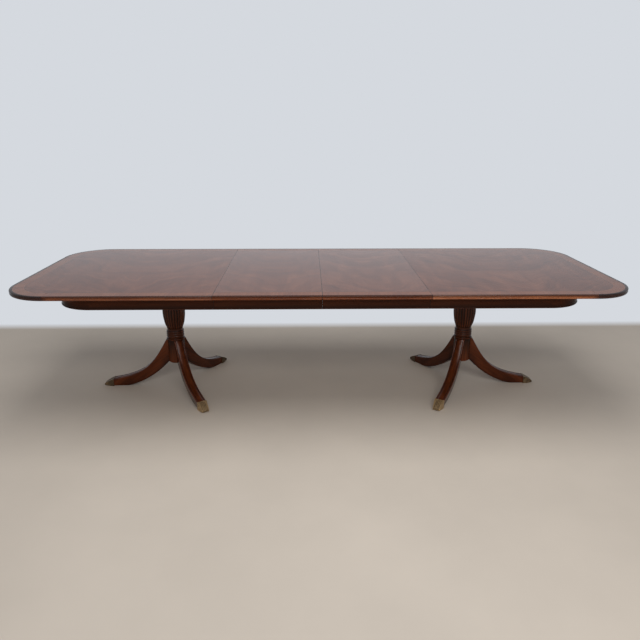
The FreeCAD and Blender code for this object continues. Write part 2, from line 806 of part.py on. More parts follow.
def strap():
    """The steel strap under the hub, with an arm bent down along the root of each leg."""
    tip_x = leg_strap_end - strap_end_gap
    tip_z = hub_lift - (tip_x - leg_strap_start) * math.tan(strap_slope)
    bend = strap_thickness * math.tan(strap_slope / 2)
    drop_x = strap_thickness * math.sin(strap_slope)
    drop_z = strap_thickness * math.cos(strap_slope)
    outline = Outline(side_plane(-strap_width / 2), (0, hub_lift)).line(leg_strap_start, hub_lift)
    outline.line(tip_x, tip_z).line(tip_x - drop_x, tip_z - drop_z)
    outline.line(leg_strap_start - bend, hub_lift - strap_thickness).line(0, hub_lift - strap_thickness)
    arm = outline.face().extrude(Y_AXIS * strap_width)
    disc = upright(strap_radius, hub_lift - strap_thickness, hub_lift)
    whole = joined([disc] + [turned(arm, angle) for angle in leg_angles.values()])
    return whole.cut(upright(strap_hole_radius, hub_lift - overrun, hub_lift + overrun))


def bolt_places():
    """Places of the four bolts about the pedestal's axis."""
    return [(x * bolt_spacing_x / 2, y * bolt_spacing_y / 2) for x in (-1, 1) for y in (-1, 1)]


def bolt(x, y):
    """A hexagon-headed bolt, its head sunk in the plate and its end in the core."""
    corners = []
    for side in range(bolt_head_sides + 1):
        angle = 2 * math.pi * side / bolt_head_sides
        corners.append(Vector(x + bolt_head_radius * math.cos(angle), y + bolt_head_radius * math.sin(angle),
                              plate_underside))
    head = Part.Face(Part.makePolygon(corners)).extrude(Z_AXIS * bolt_head_height)
    shank = upright(bolt_radius, plate_underside, top_underside + bolt_bite, x, y)
    return joined([head, shank])


def plate():
    """The thick plate between a post and its half, with a mortise and sunk bolt holes."""
    low = Vector(-plate_length / 2, -plate_width / 2, plate_underside)
    body = box(low, Vector(plate_length / 2, plate_width / 2, top_underside))
    rim = [edge for edge in body.Edges if edge.BoundBox.ZMax < plate_underside + plate_chamfer]
    body = body.makeChamfer(plate_chamfer, rim)
    body = body.cut(upright(tenon_radius, plate_underside, plate_underside + tenon_length))
    for x, y in bolt_places():
        body = body.cut(upright(bolt_radius + bolt_clearance, plate_underside, top_underside, x, y))
        body = body.cut(upright(bolt_head_radius + bolt_clearance, plate_underside - overrun,
                                plate_underside + bolt_head_height, x, y))
    return body


def pedestal():
    """The left pedestal's pieces, in place."""
    one_leg = leg()
    one_cap = toe_cap()
    pieces = {"post": post(), "post_plate": plate(), "leg_strap": strap()}
    pieces["plate_bolts"] = group([bolt(x, y) for x, y in bolt_places()])
    for name, angle in leg_angles.items():
        pieces["leg_" + name] = turned(one_leg, angle)
    pieces["toe_caps"] = group([turned(one_cap, angle) for angle in leg_angles.values()])
    for shape in pieces.values():
        shape.translate(X_AXIS * pedestal_x)
    return pieces


def bolt_bores(core):
    """The core of the left half, bored for the pedestal's bolts."""
    for x, y in bolt_places():
        core = core.cut(upright(bolt_radius, top_underside, top_underside + bolt_bite, pedestal_x + x, y))
    return core


def all_nodes():
    """Every node of the table by name."""
    half = {**half_top(), **half_apron(), **pedestal(), "seam_pins": seam_pins()}
    half["top_core"] = bolt_bores(half["top_core"])
    nodes = {**extension_slides(), **table_locks()}
    for name, shape in half.items():
        nodes["left_" + name] = shape
        nodes["right_" + name] = flipped(shape, X_AXIS)
    for name, shape in leaf_top().items():
        nodes["leaf_left_" + name] = shape
        nodes["leaf_right_" + name] = flipped(shape, X_AXIS)
    return nodes


os.makedirs("parts", exist_ok=True)
for node, solid in all_nodes().items():
    solid.exportStep("parts/" + node + ".step")
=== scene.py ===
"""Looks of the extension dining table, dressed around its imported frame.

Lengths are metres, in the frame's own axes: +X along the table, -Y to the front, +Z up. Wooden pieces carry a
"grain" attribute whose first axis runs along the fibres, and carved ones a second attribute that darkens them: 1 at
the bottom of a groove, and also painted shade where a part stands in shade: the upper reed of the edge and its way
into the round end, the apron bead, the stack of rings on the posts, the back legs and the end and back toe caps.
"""
import logging
import math
from dataclasses import dataclass, replace
from enum import Enum
from typing import Callable, Optional, Sequence, Union

import bmesh
import bpy
from mathutils import Matrix, Vector


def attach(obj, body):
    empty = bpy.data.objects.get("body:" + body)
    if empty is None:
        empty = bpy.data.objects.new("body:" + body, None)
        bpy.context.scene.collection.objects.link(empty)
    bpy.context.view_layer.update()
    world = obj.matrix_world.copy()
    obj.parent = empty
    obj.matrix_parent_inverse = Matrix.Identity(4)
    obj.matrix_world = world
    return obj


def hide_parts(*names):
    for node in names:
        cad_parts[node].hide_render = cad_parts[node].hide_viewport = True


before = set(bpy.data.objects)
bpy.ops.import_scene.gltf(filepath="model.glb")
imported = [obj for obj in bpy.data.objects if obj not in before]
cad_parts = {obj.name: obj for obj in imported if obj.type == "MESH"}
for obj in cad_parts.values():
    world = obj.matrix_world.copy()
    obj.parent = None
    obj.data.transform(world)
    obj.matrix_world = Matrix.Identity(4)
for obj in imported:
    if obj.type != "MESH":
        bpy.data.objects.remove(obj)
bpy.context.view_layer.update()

LOG = logging.getLogger("dining_table")
IMAGE_SIDE = 640

Colour = tuple[float, float, float]
Place = tuple[float, float, float]
Point = tuple[float, float]
ScrewPlace = tuple[Place, Place]
Value = Union[float, Sequence[float], bpy.types.NodeSocket]

TOP_HEIGHT = 0.75
TOP_THICKNESS = 0.022
HALF_WIDTH = 0.605
TABLE_END = 1.654
LEAF_LENGTH = 0.556
SEAM_GAP = 0.0003
POST_X = 0.8945
SEAMS = (-LEAF_LENGTH, 0.0, LEAF_LENGTH)
SEAM_REACH = 0.0028
SEAM_SHARE = 0.9
SEAM_DARK: Colour = (0.012, 0.006, 0.005)
WEAR_SPAN: Point = (0.3, 0.7)
WELD = 1e-6


class Coordinates(Enum):
    """Where a finish takes its grain from: the piece's own attribute, or an axis of the frame."""

    GRAIN = "grain"
    ALONG_X = (0.0, 0.0, 0.0)
    ALONG_Y = (0.0, 0.0, math.pi / 2)


class Side(Enum):
    """The two mirrored halves of the table, with the sign of their X."""

    LEFT = ("left", -1)
    RIGHT = ("right", 1)

    @property
    def word(self) -> str:
        """The side's name in nodes and bodies."""
        return self.value[0]

    @property
    def sign(self) -> int:
        """-1 on the left, 1 on the right."""
        return self.value[1]


@dataclass(frozen=True)
class Pattern:
    """A noise pattern: its scale along each axis, its octaves, the weight of the finer ones and its stirring."""

    scale: Place
    detail: float = 3.0
    roughness: float = 0.55
    distortion: float = 0.0


class TreeSketch:
    """A node tree, drawn with short calls."""

    def __init__(self, tree: bpy.types.NodeTree) -> None:
        """Draw in a tree that already exists."""
        self.tree = tree

    def feed(self, socket: bpy.types.NodeSocket, value: Value) -> None:
        """Link a socket to another, or set its value.

        Args:
            socket: the input.
            value: a number, several numbers or the other socket.
        """
        if isinstance(value, bpy.types.NodeSocket):
            self.tree.links.new(value, socket)
        else:
            socket.default_value = value

    def add(self, kind: str, settings: Optional[dict] = None, inputs: Optional[dict] = None,
            **named: Value) -> bpy.types.Node:
        """Add a node, set its options and fill its inputs.

        Args:
            kind: the node's type.
            settings: options of the node itself.
            inputs: values or sockets by input name or number.
            named: more of them by input name, with spaces written as underscores.

        Returns:
            The new node.
        """
        node = self.tree.nodes.new(kind)
        for key, value in (settings or {}).items():
            setattr(node, key, value)
        for key, value in (inputs or {}).items():
            self.feed(node.inputs[key], value)
        for key, value in named.items():
            self.feed(node.inputs[key.replace("_", " ")], value)
        return node

    def math(self, operation: str, first: Value, second: Value = 0.0, clamp: bool = False) -> bpy.types.NodeSocket:
        """One sum on numbers, its result kept between 0 and 1 where clamp says so."""
        settings = {"operation": operation, "use_clamp": clamp}
        return self.add("ShaderNodeMath", settings, {0: first, 1: second}).outputs[0]


class ShaderSketch(TreeSketch):
    """The node tree of a material or a world."""

    def __init__(self, owner: Union[bpy.types.Material, bpy.types.World]) -> None:
        """Start with an empty tree.

        Args:
            owner: the material or the world that the tree belongs to.
        """
        owner.use_nodes = True
        owner.node_tree.nodes.clear()
        super().__init__(owner.node_tree)
        self.owner = owner

    def stretched(self, vector: Value, scale: Sequence[float]) -> bpy.types.NodeSocket:
        """A vector multiplied axis by axis."""
        return self.add("ShaderNodeVectorMath", {"operation": "MULTIPLY"}, {0: vector, 1: scale}).outputs[0]

    def weighed(self, parts: Sequence[Value], weights: Sequence[float]) -> bpy.types.NodeSocket:
        """Numbers added up, each times its weight.

        Args:
            parts: the numbers.
            weights: the weight of each.

        Returns:
            The sum's socket.
        """
        total, *others = [self.math("MULTIPLY", part, weight) for part, weight in zip(parts, weights)]
        for other in others:
            total = self.math("ADD", total, other)
        return total

    def noise(self, vector: Value, pattern: Pattern) -> bpy.types.NodeSocket:
        """A noise pattern.

        Args:
            vector: where it is read.
            pattern: its scale and its kind.

        Returns:
            The pattern's socket, around 0.5.
        """
        node = self.add("ShaderNodeTexNoise", Vector=self.stretched(vector, pattern.scale), Scale=1.0,
                        Detail=pattern.detail, Roughness=pattern.roughness, Distortion=pattern.distortion)
        return node.outputs["Fac"]

    def ramp(self, factor: Value, stops: Sequence[tuple[float, Colour]]) -> bpy.types.NodeSocket:
        """Colours spread along a number.

        Args:
            factor: the number, from 0 to 1.
            stops: place and colour of each stop.

        Returns:
            The colour's socket.
        """
        node = self.add("ShaderNodeValToRGB", None, {0: factor})
        elements = node.color_ramp.elements
        while len(elements) < len(stops):
            elements.new(1.0)
        for element, (place, colour) in zip(elements, stops):
            element.position = place
            element.color = (*colour, 1.0)
        return node.outputs["Color"]

    def span(self, value: Value, low: float, high: float, to_low: float = 0.0,
             to_high: float = 1.0) -> bpy.types.NodeSocket:
        """A number carried from one range to another, and kept inside it.

        Args:
            value: the number.
            low: low end of its range.
            high: high end of its range.
            to_low: what the low end becomes.
            to_high: what the high end becomes.

        Returns:
            The result's socket.
        """
        numbers = dict(enumerate((value, low, high, to_low, to_high)))
        return self.add("ShaderNodeMapRange", {"clamp": True}, numbers).outputs[0]

    def blend(self, factor: Value, first: Value, second: Value) -> bpy.types.NodeSocket:
        """Two colours mixed.

        Args:
            factor: share of the second.
            first: first colour.
            second: second colour.

        Returns:
            The mixed colour's socket.
        """
        first, second = ((*colour, 1.0) if isinstance(colour, tuple) else colour for colour in (first, second))
        return self.add("ShaderNodeMix", {"data_type": "RGBA"}, {0: factor, 6: first, 7: second}).outputs[2]

    def grain(self, source: Coordinates, centre: Place = (0.0, 0.0, 0.0)) -> bpy.types.NodeSocket:
        """Coordinates whose first axis runs along the fibres.

        Args:
            source: the attribute or axis to read.
            centre: the point that becomes the pattern's own origin.

        Returns:
            The coordinates' socket.
        """
        if source is Coordinates.GRAIN:
            start = self.attribute("grain", "Vector")
            turn = (0.0, 0.0, 0.0)
        else:
            start = self.add("ShaderNodeTexCoord").outputs["Object"]
            turn = source.value
        mapping = self.add("ShaderNodeMapping", {"vector_type": "TEXTURE"}, Vector=start, Location=centre,
                           Rotation=turn)
        return mapping.outputs[0]

    def tinted(self, colour: Value, mask: Value, share: float, tint: Colour) -> bpy.types.NodeSocket:
        """A colour that gives way to a tint, by a share of a mask."""
        return self.blend(self.math("MULTIPLY", mask, share), colour, tint)

    def seamed(self, colour: Value, places: Sequence[float]) -> bpy.types.NodeSocket:
        """A colour that turns dark where the frame's X lies at a seam.

        Args:
            colour: the colour.
            places: the seams along X.

        Returns:
            The colour's socket.
        """
        x = self.add("ShaderNodeSeparateXYZ", Vector=self.add("ShaderNodeTexCoord").outputs["Object"]).outputs["X"]
        nearest, *others = [self.math("ABSOLUTE", self.math("SUBTRACT", x, place)) for place in places]
        for other in others:
            nearest = self.math("MINIMUM", nearest, other)
        return self.tinted(colour, self.span(nearest, 0.0, SEAM_REACH, 1.0, 0.0), SEAM_SHARE, SEAM_DARK)

    def worn(self, place: Value, pattern: Pattern, roughness: float, reach: float) -> bpy.types.NodeSocket:
        """A roughness that wanders by a reach either way, as polish wears."""
        wear = self.span(self.noise(place, pattern), *WEAR_SPAN, -reach, reach)
        return self.math("ADD", wear, roughness)

    def mixed(self, factor: Value, first: bpy.types.Node, second: bpy.types.Node) -> bpy.types.NodeSocket:
        """Two shaders mixed, by the share of the second."""
        return self.add("ShaderNodeMixShader", None, {0: factor, 1: first.outputs[0], 2: second.outputs[0]}).outputs[0]

    def seen_straight(self) -> bpy.types.NodeSocket:
        """Tell rays that come from the camera, or off a glossy or clear surface, from those of the light itself.

        Returns:
            A socket that is 1 for the first kind and 0 for the other.
        """
        rays = self.add("ShaderNodeLightPath").outputs
        seen = self.math("ADD", rays["Is Camera Ray"], rays["Is Glossy Ray"], True)
        return self.math("ADD", seen, rays["Is Transmission Ray"], True)

    def attribute(self, name: str, output: str) -> bpy.types.NodeSocket:
        """One of the piece's own attributes."""
        return self.add("ShaderNodeAttribute", {"attribute_name": name}).outputs[output]

    def bump(self, height: Value, strength: float, distance: float) -> bpy.types.NodeSocket:
        """A surface normal raised by a height pattern."""
        return self.add("ShaderNodeBump", Height=height, Strength=strength, Distance=distance).outputs[0]

    def finish(self, **inputs: Value) -> bpy.types.Material:
        """Close the tree with a surface shader.

        Args:
            inputs: values or sockets of the shader, by input name.

        Returns:
            The finished material.
        """
        shader = self.add("ShaderNodeBsdfPrincipled", **inputs)
        self.add("ShaderNodeOutputMaterial", None, {0: shader.outputs[0]})
        return self.owner


@dataclass(frozen=True)
class Wood:
    """A solid wood or straight-grained veneer under polish.

    Its three colours lie at the stops of a tone that weighs figure and streak. Relief is the strength and the depth
    of the surface.
    """

    name: str
    dark: Colour
    body: Colour
    light: Colour
    source: Coordinates = Coordinates.GRAIN
    roughness: float = 0.3
    specular: float = 0.5
    pore_depth: float = 0.25
    # Colour laid at the bottom of grooves and, where a piece marks it, as painted shade.
    glaze: Optional[Colour] = None
    seams: tuple[float, ...] = ()
    figure: Pattern = Pattern((2.2, 26.0, 26.0), 4.0, 0.6, 0.9)
    streak: Pattern = Pattern((5.0, 240.0, 240.0), 3.0, 0.6)
    pores: Pattern = Pattern((45.0, 1300.0, 1300.0), 1.0)
    wear: Pattern = Pattern((14.0, 14.0, 14.0))
    weights: Point = (0.65, 0.35)
    stops: tuple[float, ...] = (0.34, 0.5, 0.66)
    pore_span: Point = (0.58, 0.7)
    glaze_share: float = 0.9
    wear_reach: float = 0.05
    streak_height: float = 0.4
    relief: Point = (0.12, 0.0002)

    def material(self) -> bpy.types.Material:
        """Draw the figure, the fibres, the pores, the polish, the darkened grooves and the painted shade.

        Returns:
            The finished material.
        """
        sketch = ShaderSketch(bpy.data.materials.new(self.name))
        grain = sketch.grain(self.source)
        streak = sketch.noise(grain, self.streak)
        pores = sketch.span(sketch.noise(grain, self.pores), *self.pore_span)
        tone = sketch.weighed((sketch.noise(grain, self.figure), streak), self.weights)
        colour = sketch.ramp(tone, list(zip(self.stops, (self.dark, self.body, self.light))))
        colour = sketch.tinted(colour, pores, self.pore_depth, self.dark)
        if self.glaze:
            # Darken by the piece's attribute: at the bottom of grooves, and as painted shade where the piece marks it.
            colour = sketch.tinted(colour, sketch.attribute("hollow", "Fac"), self.glaze_share, self.glaze)
        if self.seams:
            colour = sketch.seamed(colour, self.seams)
        roughness = sketch.worn(grain, self.wear, self.roughness, self.wear_reach)
        height = sketch.math("SUBTRACT", sketch.math("MULTIPLY", streak, self.streak_height), pores)
        return sketch.finish(Base_Color=colour, Roughness=roughness, Specular_IOR_Level=self.specular,
                             Normal=sketch.bump(height, *self.relief))


@dataclass(frozen=True)
class FlameVeneer:
    """Crotch-figured veneer: plumes that sweep from a spine, the two sides matched like a book.

    The spine is a softness where the sides meet. The tone weighs figure, mottle and fibre.
    """

    name: str
    centre: Place
    seed: float
    dark: Colour = (0.08, 0.024, 0.0135)
    body: Colour = (0.132, 0.042, 0.022)
    light: Colour = (0.21, 0.076, 0.04)
    roughness: float = 0.1
    specular: float = 0.5
    spine: float = 0.004
    lean_power: float = 0.8
    lean_share: float = 0.7
    sway: Pattern = Pattern((2.0, 2.6, 1.0), 2.0)
    sway_share: float = 0.6
    figure: Pattern = Pattern((13.0, 2.2, 1.0), 4.0, 0.62, 0.7)
    mottle: Pattern = Pattern((5.0, 17.0, 1.0), 2.0, 0.5, 0.4)
    fibre: Pattern = Pattern((190.0, 9.0, 1.0), 3.0, 0.6)
    pores: Pattern = Pattern((1100.0, 60.0, 1.0), 1.0)
    smear: Pattern = Pattern((3.0, 5.0, 1.0))
    weights: tuple[float, ...] = (0.5, 0.25, 0.25)
    stops: tuple[float, ...] = (0.36, 0.5, 0.66)
    pore_span: Point = (0.6, 0.72)
    pore_depth: float = 0.3
    smear_reach: float = 0.03
    relief: Point = (0.05, 0.0001)

    def plume(self, sketch: ShaderSketch, place: bpy.types.NodeSocket) -> bpy.types.NodeSocket:
        """Coordinates that lean away from the spine on both sides and sway on the way.

        Args:
            sketch: the material's sketch.
            place: the veneer's own coordinates, the spine along Y.

        Returns:
            The coordinates' socket.
        """
        x, y, _ = sketch.add("ShaderNodeSeparateXYZ", Vector=place).outputs
        out = sketch.math("POWER", sketch.math("ADD", sketch.math("POWER", x, 2.0), self.spine), 0.5)
        lean = sketch.math("MULTIPLY", sketch.math("POWER", out, self.lean_power), self.lean_share)
        sway = sketch.math("SUBTRACT", sketch.noise(place, self.sway), 0.5)
        rise = sketch.math("ADD", sketch.math("SUBTRACT", y, lean), sketch.math("MULTIPLY", sway, self.sway_share))
        return sketch.add("ShaderNodeCombineXYZ", X=rise, Y=out, Z=self.seed).outputs[0]

    def material(self) -> bpy.types.Material:
        """Draw the plume, the cross mottle, the fibres and the polish.

        Returns:
            The finished material.
        """
        sketch = ShaderSketch(bpy.data.materials.new(self.name))
        place = sketch.grain(Coordinates.ALONG_X, self.centre)
        plume = self.plume(sketch, place)
        fibre = sketch.noise(plume, self.fibre)
        pores = sketch.span(sketch.noise(plume, self.pores), *self.pore_span)
        tone = sketch.weighed((sketch.noise(plume, self.figure), sketch.noise(plume, self.mottle), fibre), self.weights)
        colour = sketch.ramp(tone, list(zip(self.stops, (self.dark, self.body, self.light))))
        colour = sketch.seamed(sketch.tinted(colour, pores, self.pore_depth, self.dark), SEAMS)
        roughness = sketch.worn(place, self.smear, self.roughness, self.smear_reach)
        return sketch.finish(Base_Color=colour, Roughness=roughness, Specular_IOR_Level=self.specular,
                             Normal=sketch.bump(fibre, *self.relief))


@dataclass(frozen=True)
class Metal:
    """A cast or pressed metal with tarnish in patches and hollows, and painted shade where a piece marks it."""

    name: str
    bright: Colour
    dull: Colour
    roughness: float
    metallic: float = 1.0
    hollows: bool = False
    patch_share: float = 1.0
    patch: Pattern = Pattern((60.0, 60.0, 60.0), 4.0, 0.6)
    speck: Pattern = Pattern((900.0, 900.0, 900.0), 2.0)
    patch_span: Point = (0.38, 0.64)
    dull_roughness: float = 0.16
    relief: Point = (0.2, 0.0002)

    def material(self) -> bpy.types.Material:
        """Draw the tarnish, the painted shade, the rubbed places and a fine cast surface.

        Returns:
            The finished material.
        """
        sketch = ShaderSketch(bpy.data.materials.new(self.name))
        place = sketch.grain(Coordinates.ALONG_X)
        patch = sketch.noise(place, self.patch)
        dull = sketch.span(patch, *self.patch_span, 0.0, self.patch_share)
        if self.hollows:
            # The piece's attribute adds tarnish in hollows and painted shade on the caps that stand in shade.
            dull = sketch.math("ADD", dull, sketch.attribute("hollow", "Fac"), True)
        roughness = sketch.math("ADD", sketch.math("MULTIPLY", dull, self.dull_roughness), self.roughness)
        height = sketch.math("ADD", sketch.noise(place, self.speck), patch)
        return sketch.finish(Base_Color=sketch.blend(dull, self.bright, self.dull), Metallic=self.metallic,
                             Roughness=roughness, Normal=sketch.bump(height, *self.relief))


Finish = Union[Wood, FlameVeneer, Metal]
FLAME = {
    "left_top_field": FlameVeneer("flame_left_half", (-1.066, 0.0, 0.0), 0.0),
    "right_top_field": FlameVeneer("flame_right_half", (1.066, 0.0, 0.0), 3.1),
    "leaf_left_field": FlameVeneer("flame_left_leaf", (-0.278, 0.0, 0.0), 7.3, specular=0.84),
    "leaf_right_field": FlameVeneer("flame_right_leaf", (0.278, 0.0, 0.0), 11.9, specular=0.84),
}
CROSSBAND = Wood("crossband", (0.125, 0.036, 0.016), (0.18, 0.056, 0.024), (0.23, 0.08, 0.035), roughness=0.1,
                 glaze=(0.02, 0.007, 0.005), seams=SEAMS, figure=Pattern((3.0, 14.0, 14.0), 4.0, 0.6, 0.9),
                 streak=Pattern((5.0, 150.0, 150.0), 3.0, 0.6))
EDGE = Wood("edge_mahogany", (0.11, 0.027, 0.012), (0.215, 0.066, 0.025), (0.33, 0.113, 0.045), roughness=0.26,
            specular=0.3, glaze=(0.025, 0.007, 0.004), seams=SEAMS)
EDGE_LEAF = replace(EDGE, name="edge_mahogany_leaf", dark=(0.085, 0.02, 0.008), body=(0.165, 0.046, 0.017),
                    light=(0.26, 0.082, 0.032), specular=0.12)
# A lit copy of the edge finish for the right half's straight sides: painted light, as if lit from the right.
EDGE_RIGHT_LIT = replace(EDGE, name="edge_mahogany_right", dark=(0.18, 0.052, 0.021), body=(0.34, 0.113, 0.043),
                     light=(0.48, 0.18, 0.075))
# A shaded copy of the edge finish for the round ends: painted shade.
EDGE_END_SHADED = replace(EDGE, name="edge_mahogany_dark", dark=(0.03, 0.011, 0.008), body=(0.055, 0.021, 0.015),
                   light=(0.09, 0.036, 0.024), glaze=(0.015, 0.006, 0.005), seams=())
APRON = Wood("apron_mahogany", (0.055, 0.013, 0.004), (0.096, 0.022, 0.006), (0.155, 0.039, 0.012), roughness=0.34,
             specular=0.1, glaze=(0.008, 0.004, 0.003), seams=SEAMS)
LEG = Wood("leg_mahogany", (0.052, 0.012, 0.004), (0.1, 0.023, 0.007), (0.165, 0.041, 0.013), roughness=0.2,
           specular=0.19, glaze=(0.012, 0.005, 0.004))
POST = replace(LEG, name="post_mahogany", dark=(0.064, 0.015, 0.0052), body=(0.116, 0.028, 0.0085),
               light=(0.19, 0.047, 0.014), glaze=(0.006, 0.003, 0.002), specular=0.17)
CORE = Wood("core_board", (0.2, 0.13, 0.08), (0.3, 0.2, 0.125), (0.38, 0.27, 0.17), Coordinates.ALONG_X, 0.6, 0.3)
SECONDARY = Wood("secondary_wood", (0.2, 0.12, 0.065), (0.31, 0.2, 0.115), (0.4, 0.275, 0.165), Coordinates.ALONG_Y,
                 0.55, 0.3)
SLIDE = Wood("slide_maple", (0.36, 0.235, 0.12), (0.47, 0.33, 0.18), (0.56, 0.42, 0.25), Coordinates.ALONG_X, 0.42,
             0.35)
DOWEL = Wood("dowel_birch", (0.42, 0.29, 0.16), (0.54, 0.4, 0.23), (0.62, 0.48, 0.3), Coordinates.ALONG_X, 0.5, 0.3)
TOE_BRASS = Metal("toe_brass", (0.5, 0.34, 0.17), (0.09, 0.058, 0.03), 0.4, 0.5, hollows=True, patch_share=0.4)
LOCK_BRASS = Metal("lock_brass", (0.62, 0.46, 0.2), (0.34, 0.24, 0.11), 0.3)
STEEL = Metal("blackened_steel", (0.1, 0.1, 0.105), (0.045, 0.045, 0.05), 0.45, 0.8)


class Finishes:
    """Materials by finish, each drawn once."""

    def __init__(self) -> None:
        """Start with no material drawn."""
        self.drawn: dict[str, bpy.types.Material] = {}

    def of(self, finish: Finish) -> bpy.types.Material:
        """The material of a finish.

        Args:
            finish: the finish.

        Returns:
            Its material, drawn when it is first asked for.
        """
        if finish.name not in self.drawn:
            self.drawn[finish.name] = finish.material()
        return self.drawn[finish.name]

    def dress(self, node: str, finish: Finish) -> None:
        """Give a node of the frame its material.

        Args:
            node: the node's name.
            finish: the finish that it gets.
        """
        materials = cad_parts[node].data.materials
        materials.clear()
        materials.append(self.of(finish))
        LOG.info("dressed %s in %s", node, finish.name)


class NodesTree(TreeSketch):
    """A geometry node tree with named inputs."""

    def __init__(self, name: str, inputs: dict[str, str]) -> None:
        """Start a tree.

        Args:
            name: the tree's name.
            inputs: socket type of each named input.
        """
        super().__init__(bpy.data.node_groups.new(name, "GeometryNodeTree"))
        self.tree.interface.new_socket("Geometry", in_out="OUTPUT", socket_type="NodeSocketGeometry")
        self.identifiers: dict[str, str] = {}
        for word, kind in inputs.items():
            socket = self.tree.interface.new_socket(word, in_out="INPUT", socket_type=kind)
            self.identifiers[word] = socket.identifier
        self.entry = self.add("NodeGroupInput")

    def close(self, geometry: bpy.types.NodeSocket, crease: float) -> None:
        """End the tree: smooth faces, sharp creases, real geometry and the finish.

        Args:
            geometry: the shape's socket.
            crease: angle in radians above which an edge stays sharp.
        """
        smooth = self.add("GeometryNodeSetShadeSmooth", {"domain": "FACE"}, {"Geometry": geometry})
        angle = self.add("GeometryNodeInputMeshEdgeAngle")
        sharp = self.add("FunctionNodeCompare", {"data_type": "FLOAT", "operation": "GREATER_THAN"},
                         {0: angle.outputs["Unsigned Angle"], 1: crease})
        edges = self.add("GeometryNodeSetShadeSmooth", {"domain": "EDGE"},
                         {"Geometry": smooth.outputs[0], "Selection": sharp.outputs[0], "Shade Smooth": False})
        real = self.add("GeometryNodeRealizeInstances", None, {"Geometry": edges.outputs[0]})
        coated = self.add("GeometryNodeSetMaterial", None,
                          {"Geometry": real.outputs[0], "Material": self.entry.outputs["Finish"]})
        self.add("NodeGroupOutput", None, {0: coated.outputs[0]})

    def made(self, host: bpy.types.Object, values: dict[str, object]) -> bpy.types.Object:
        """Run the tree on an object and keep the result as a plain mesh.

        Args:
            host: the object that carries the tree's start.
            values: value of each named input.

        Returns:
            The same object with its new mesh and no modifier.
        """
        modifier = host.modifiers.new(self.tree.name, "NODES")
        modifier.node_group = self.tree
        for word, value in values.items():
            modifier[self.identifiers[word]] = value
        depsgraph = bpy.context.evaluated_depsgraph_get()
        mesh = bpy.data.meshes.new_from_object(host.evaluated_get(depsgraph), preserve_all_data_layers=True,
                                               depsgraph=depsgraph)
        host.modifiers.clear()
        host.data = mesh
        mesh.name = host.name
        return host


def linked(name: str, data: bpy.types.ID) -> bpy.types.Object:
    """A new object in the scene, at the origin.

    Args:
        name: the object's name.
        data: its mesh, curve, lamp or camera.

    Returns:
        The object.
    """
    piece = bpy.data.objects.new(name, data)
    bpy.context.scene.collection.objects.link(piece)
    return piece


def stepped_curve(name: str, points: Sequence[Point], closed: bool = False) -> bpy.types.Object:
    """A level curve of straight steps through points.

    Args:
        name: the curve's name.
        points: its points in order.
        closed: join the last point to the first.

    Returns:
        The curve's object.
    """
    curve = bpy.data.curves.new(name, "CURVE")
    curve.dimensions = "3D"
    spline = curve.splines.new("POLY")
    spline.points.add(len(points) - 1)
    for target, point in zip(spline.points, points):
        target.co = (*point, 0.0, 1.0)
    spline.use_cyclic_u = closed
    return linked(name, curve)


def arc_points(centre: Point, radius: float, start: float, end: float, steps: int) -> list[Point]:
    """Points along an arc, its two ends included.

    Args:
        centre: the arc's centre.
        radius: its radius.
        start: first angle, in radians.
        end: last angle, in radians.
        steps: number of straight steps.

    Returns:
        The points in order.
    """
    turns = [start + (end - start) * step / steps for step in range(steps + 1)]
    return [(centre[0] + radius * math.cos(turn), centre[1] + radius * math.sin(turn)) for turn in turns]


def bulge_points(start: Point, end: Point, proud: float, steps: int) -> list[Point]:
    """Points along a shallow arc that stands out to the right of the line from start to end.

    Args:
        start: first point, left out of the result.
        end: last point.
        proud: how far the arc stands out in the middle.
        steps: number of straight steps.

    Returns:
        The points after the first.
    """
    chord = Vector(end) - Vector(start)
    side = Vector((chord.y, -chord.x)).normalized()
    radius = (chord.length ** 2 / 4 + proud ** 2) / (2 * proud)
    middle = (Vector(start) + Vector(end)) / 2 - side * (radius - proud)
    half = math.asin(chord.length / 2 / radius)
    if proud > chord.length / 2:
        half = math.pi - half
    way = math.atan2(side.y, side.x)
    return arc_points((middle.x, middle.y), radius, way - half, way + half, steps)[1:]


def mark(piece: bpy.types.Object, name: str, kind: str, rule: Callable[[Vector], object]) -> None:
    """Store an attribute on every vertex of a piece.

    Args:
        piece: the mesh object.
        name: the attribute's name.
        kind: FLOAT or FLOAT_VECTOR.
        rule: gives a vertex's value from its place.
    """
    attribute = piece.data.attributes.new(name, kind, "POINT")
    for vertex, item in zip(piece.data.vertices, attribute.data):
        value = rule(vertex.co)
        if kind == "FLOAT":
            item.value = value
        else:
            item.vector = value


def near(value: float, places: Sequence[float], reach: float) -> float:
    """1 at any of the places, falling to 0 at a distance from them."""
    return max(0.0, 1.0 - min(abs(value - place) for place in places) / reach)


def settle(piece: bpy.types.Object, body: str, slot: str, *nodes: str) -> None:
    """Tie a finished piece to its body and hide the nodes that it stands for.

    Args:
        piece: the piece.
        body: the body that it rides on.
        slot: its material slot; not used.
        nodes: the nodes that it stands for, if any.
    """
    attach(piece, body)
    if nodes:
        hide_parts(*nodes)
    LOG.info("%s rides on %s with %d faces", piece.name, body, len(piece.data.polygons))


def merged_copy(node: str, name: str, material: bpy.types.Material, crease: float) -> bpy.types.Object:
    """A copy of a node's mesh with its loose triangles merged and shaded smooth between creases.

    Args:
        node: the node to copy.
        name: the new piece's name.
        material: its material.
        crease: angle in radians above which an edge stays sharp.

    Returns:
        The new piece.
    """
    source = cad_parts[node].data
    mesh = bpy.data.meshes.new(name)
    mesh.from_pydata([vertex.co for vertex in source.vertices], [], [list(face.vertices) for face in source.polygons])
    sheet = bmesh.new()
    sheet.from_mesh(mesh)
    bmesh.ops.remove_doubles(sheet, verts=sheet.verts, dist=WELD)
    for face in sheet.faces:
        face.smooth = True
    for edge in sheet.edges:
        edge.smooth = edge.calc_face_angle(0.0) < crease
    sheet.to_mesh(mesh)
    sheet.free()
    mesh.materials.append(material)
    return linked(name, mesh)


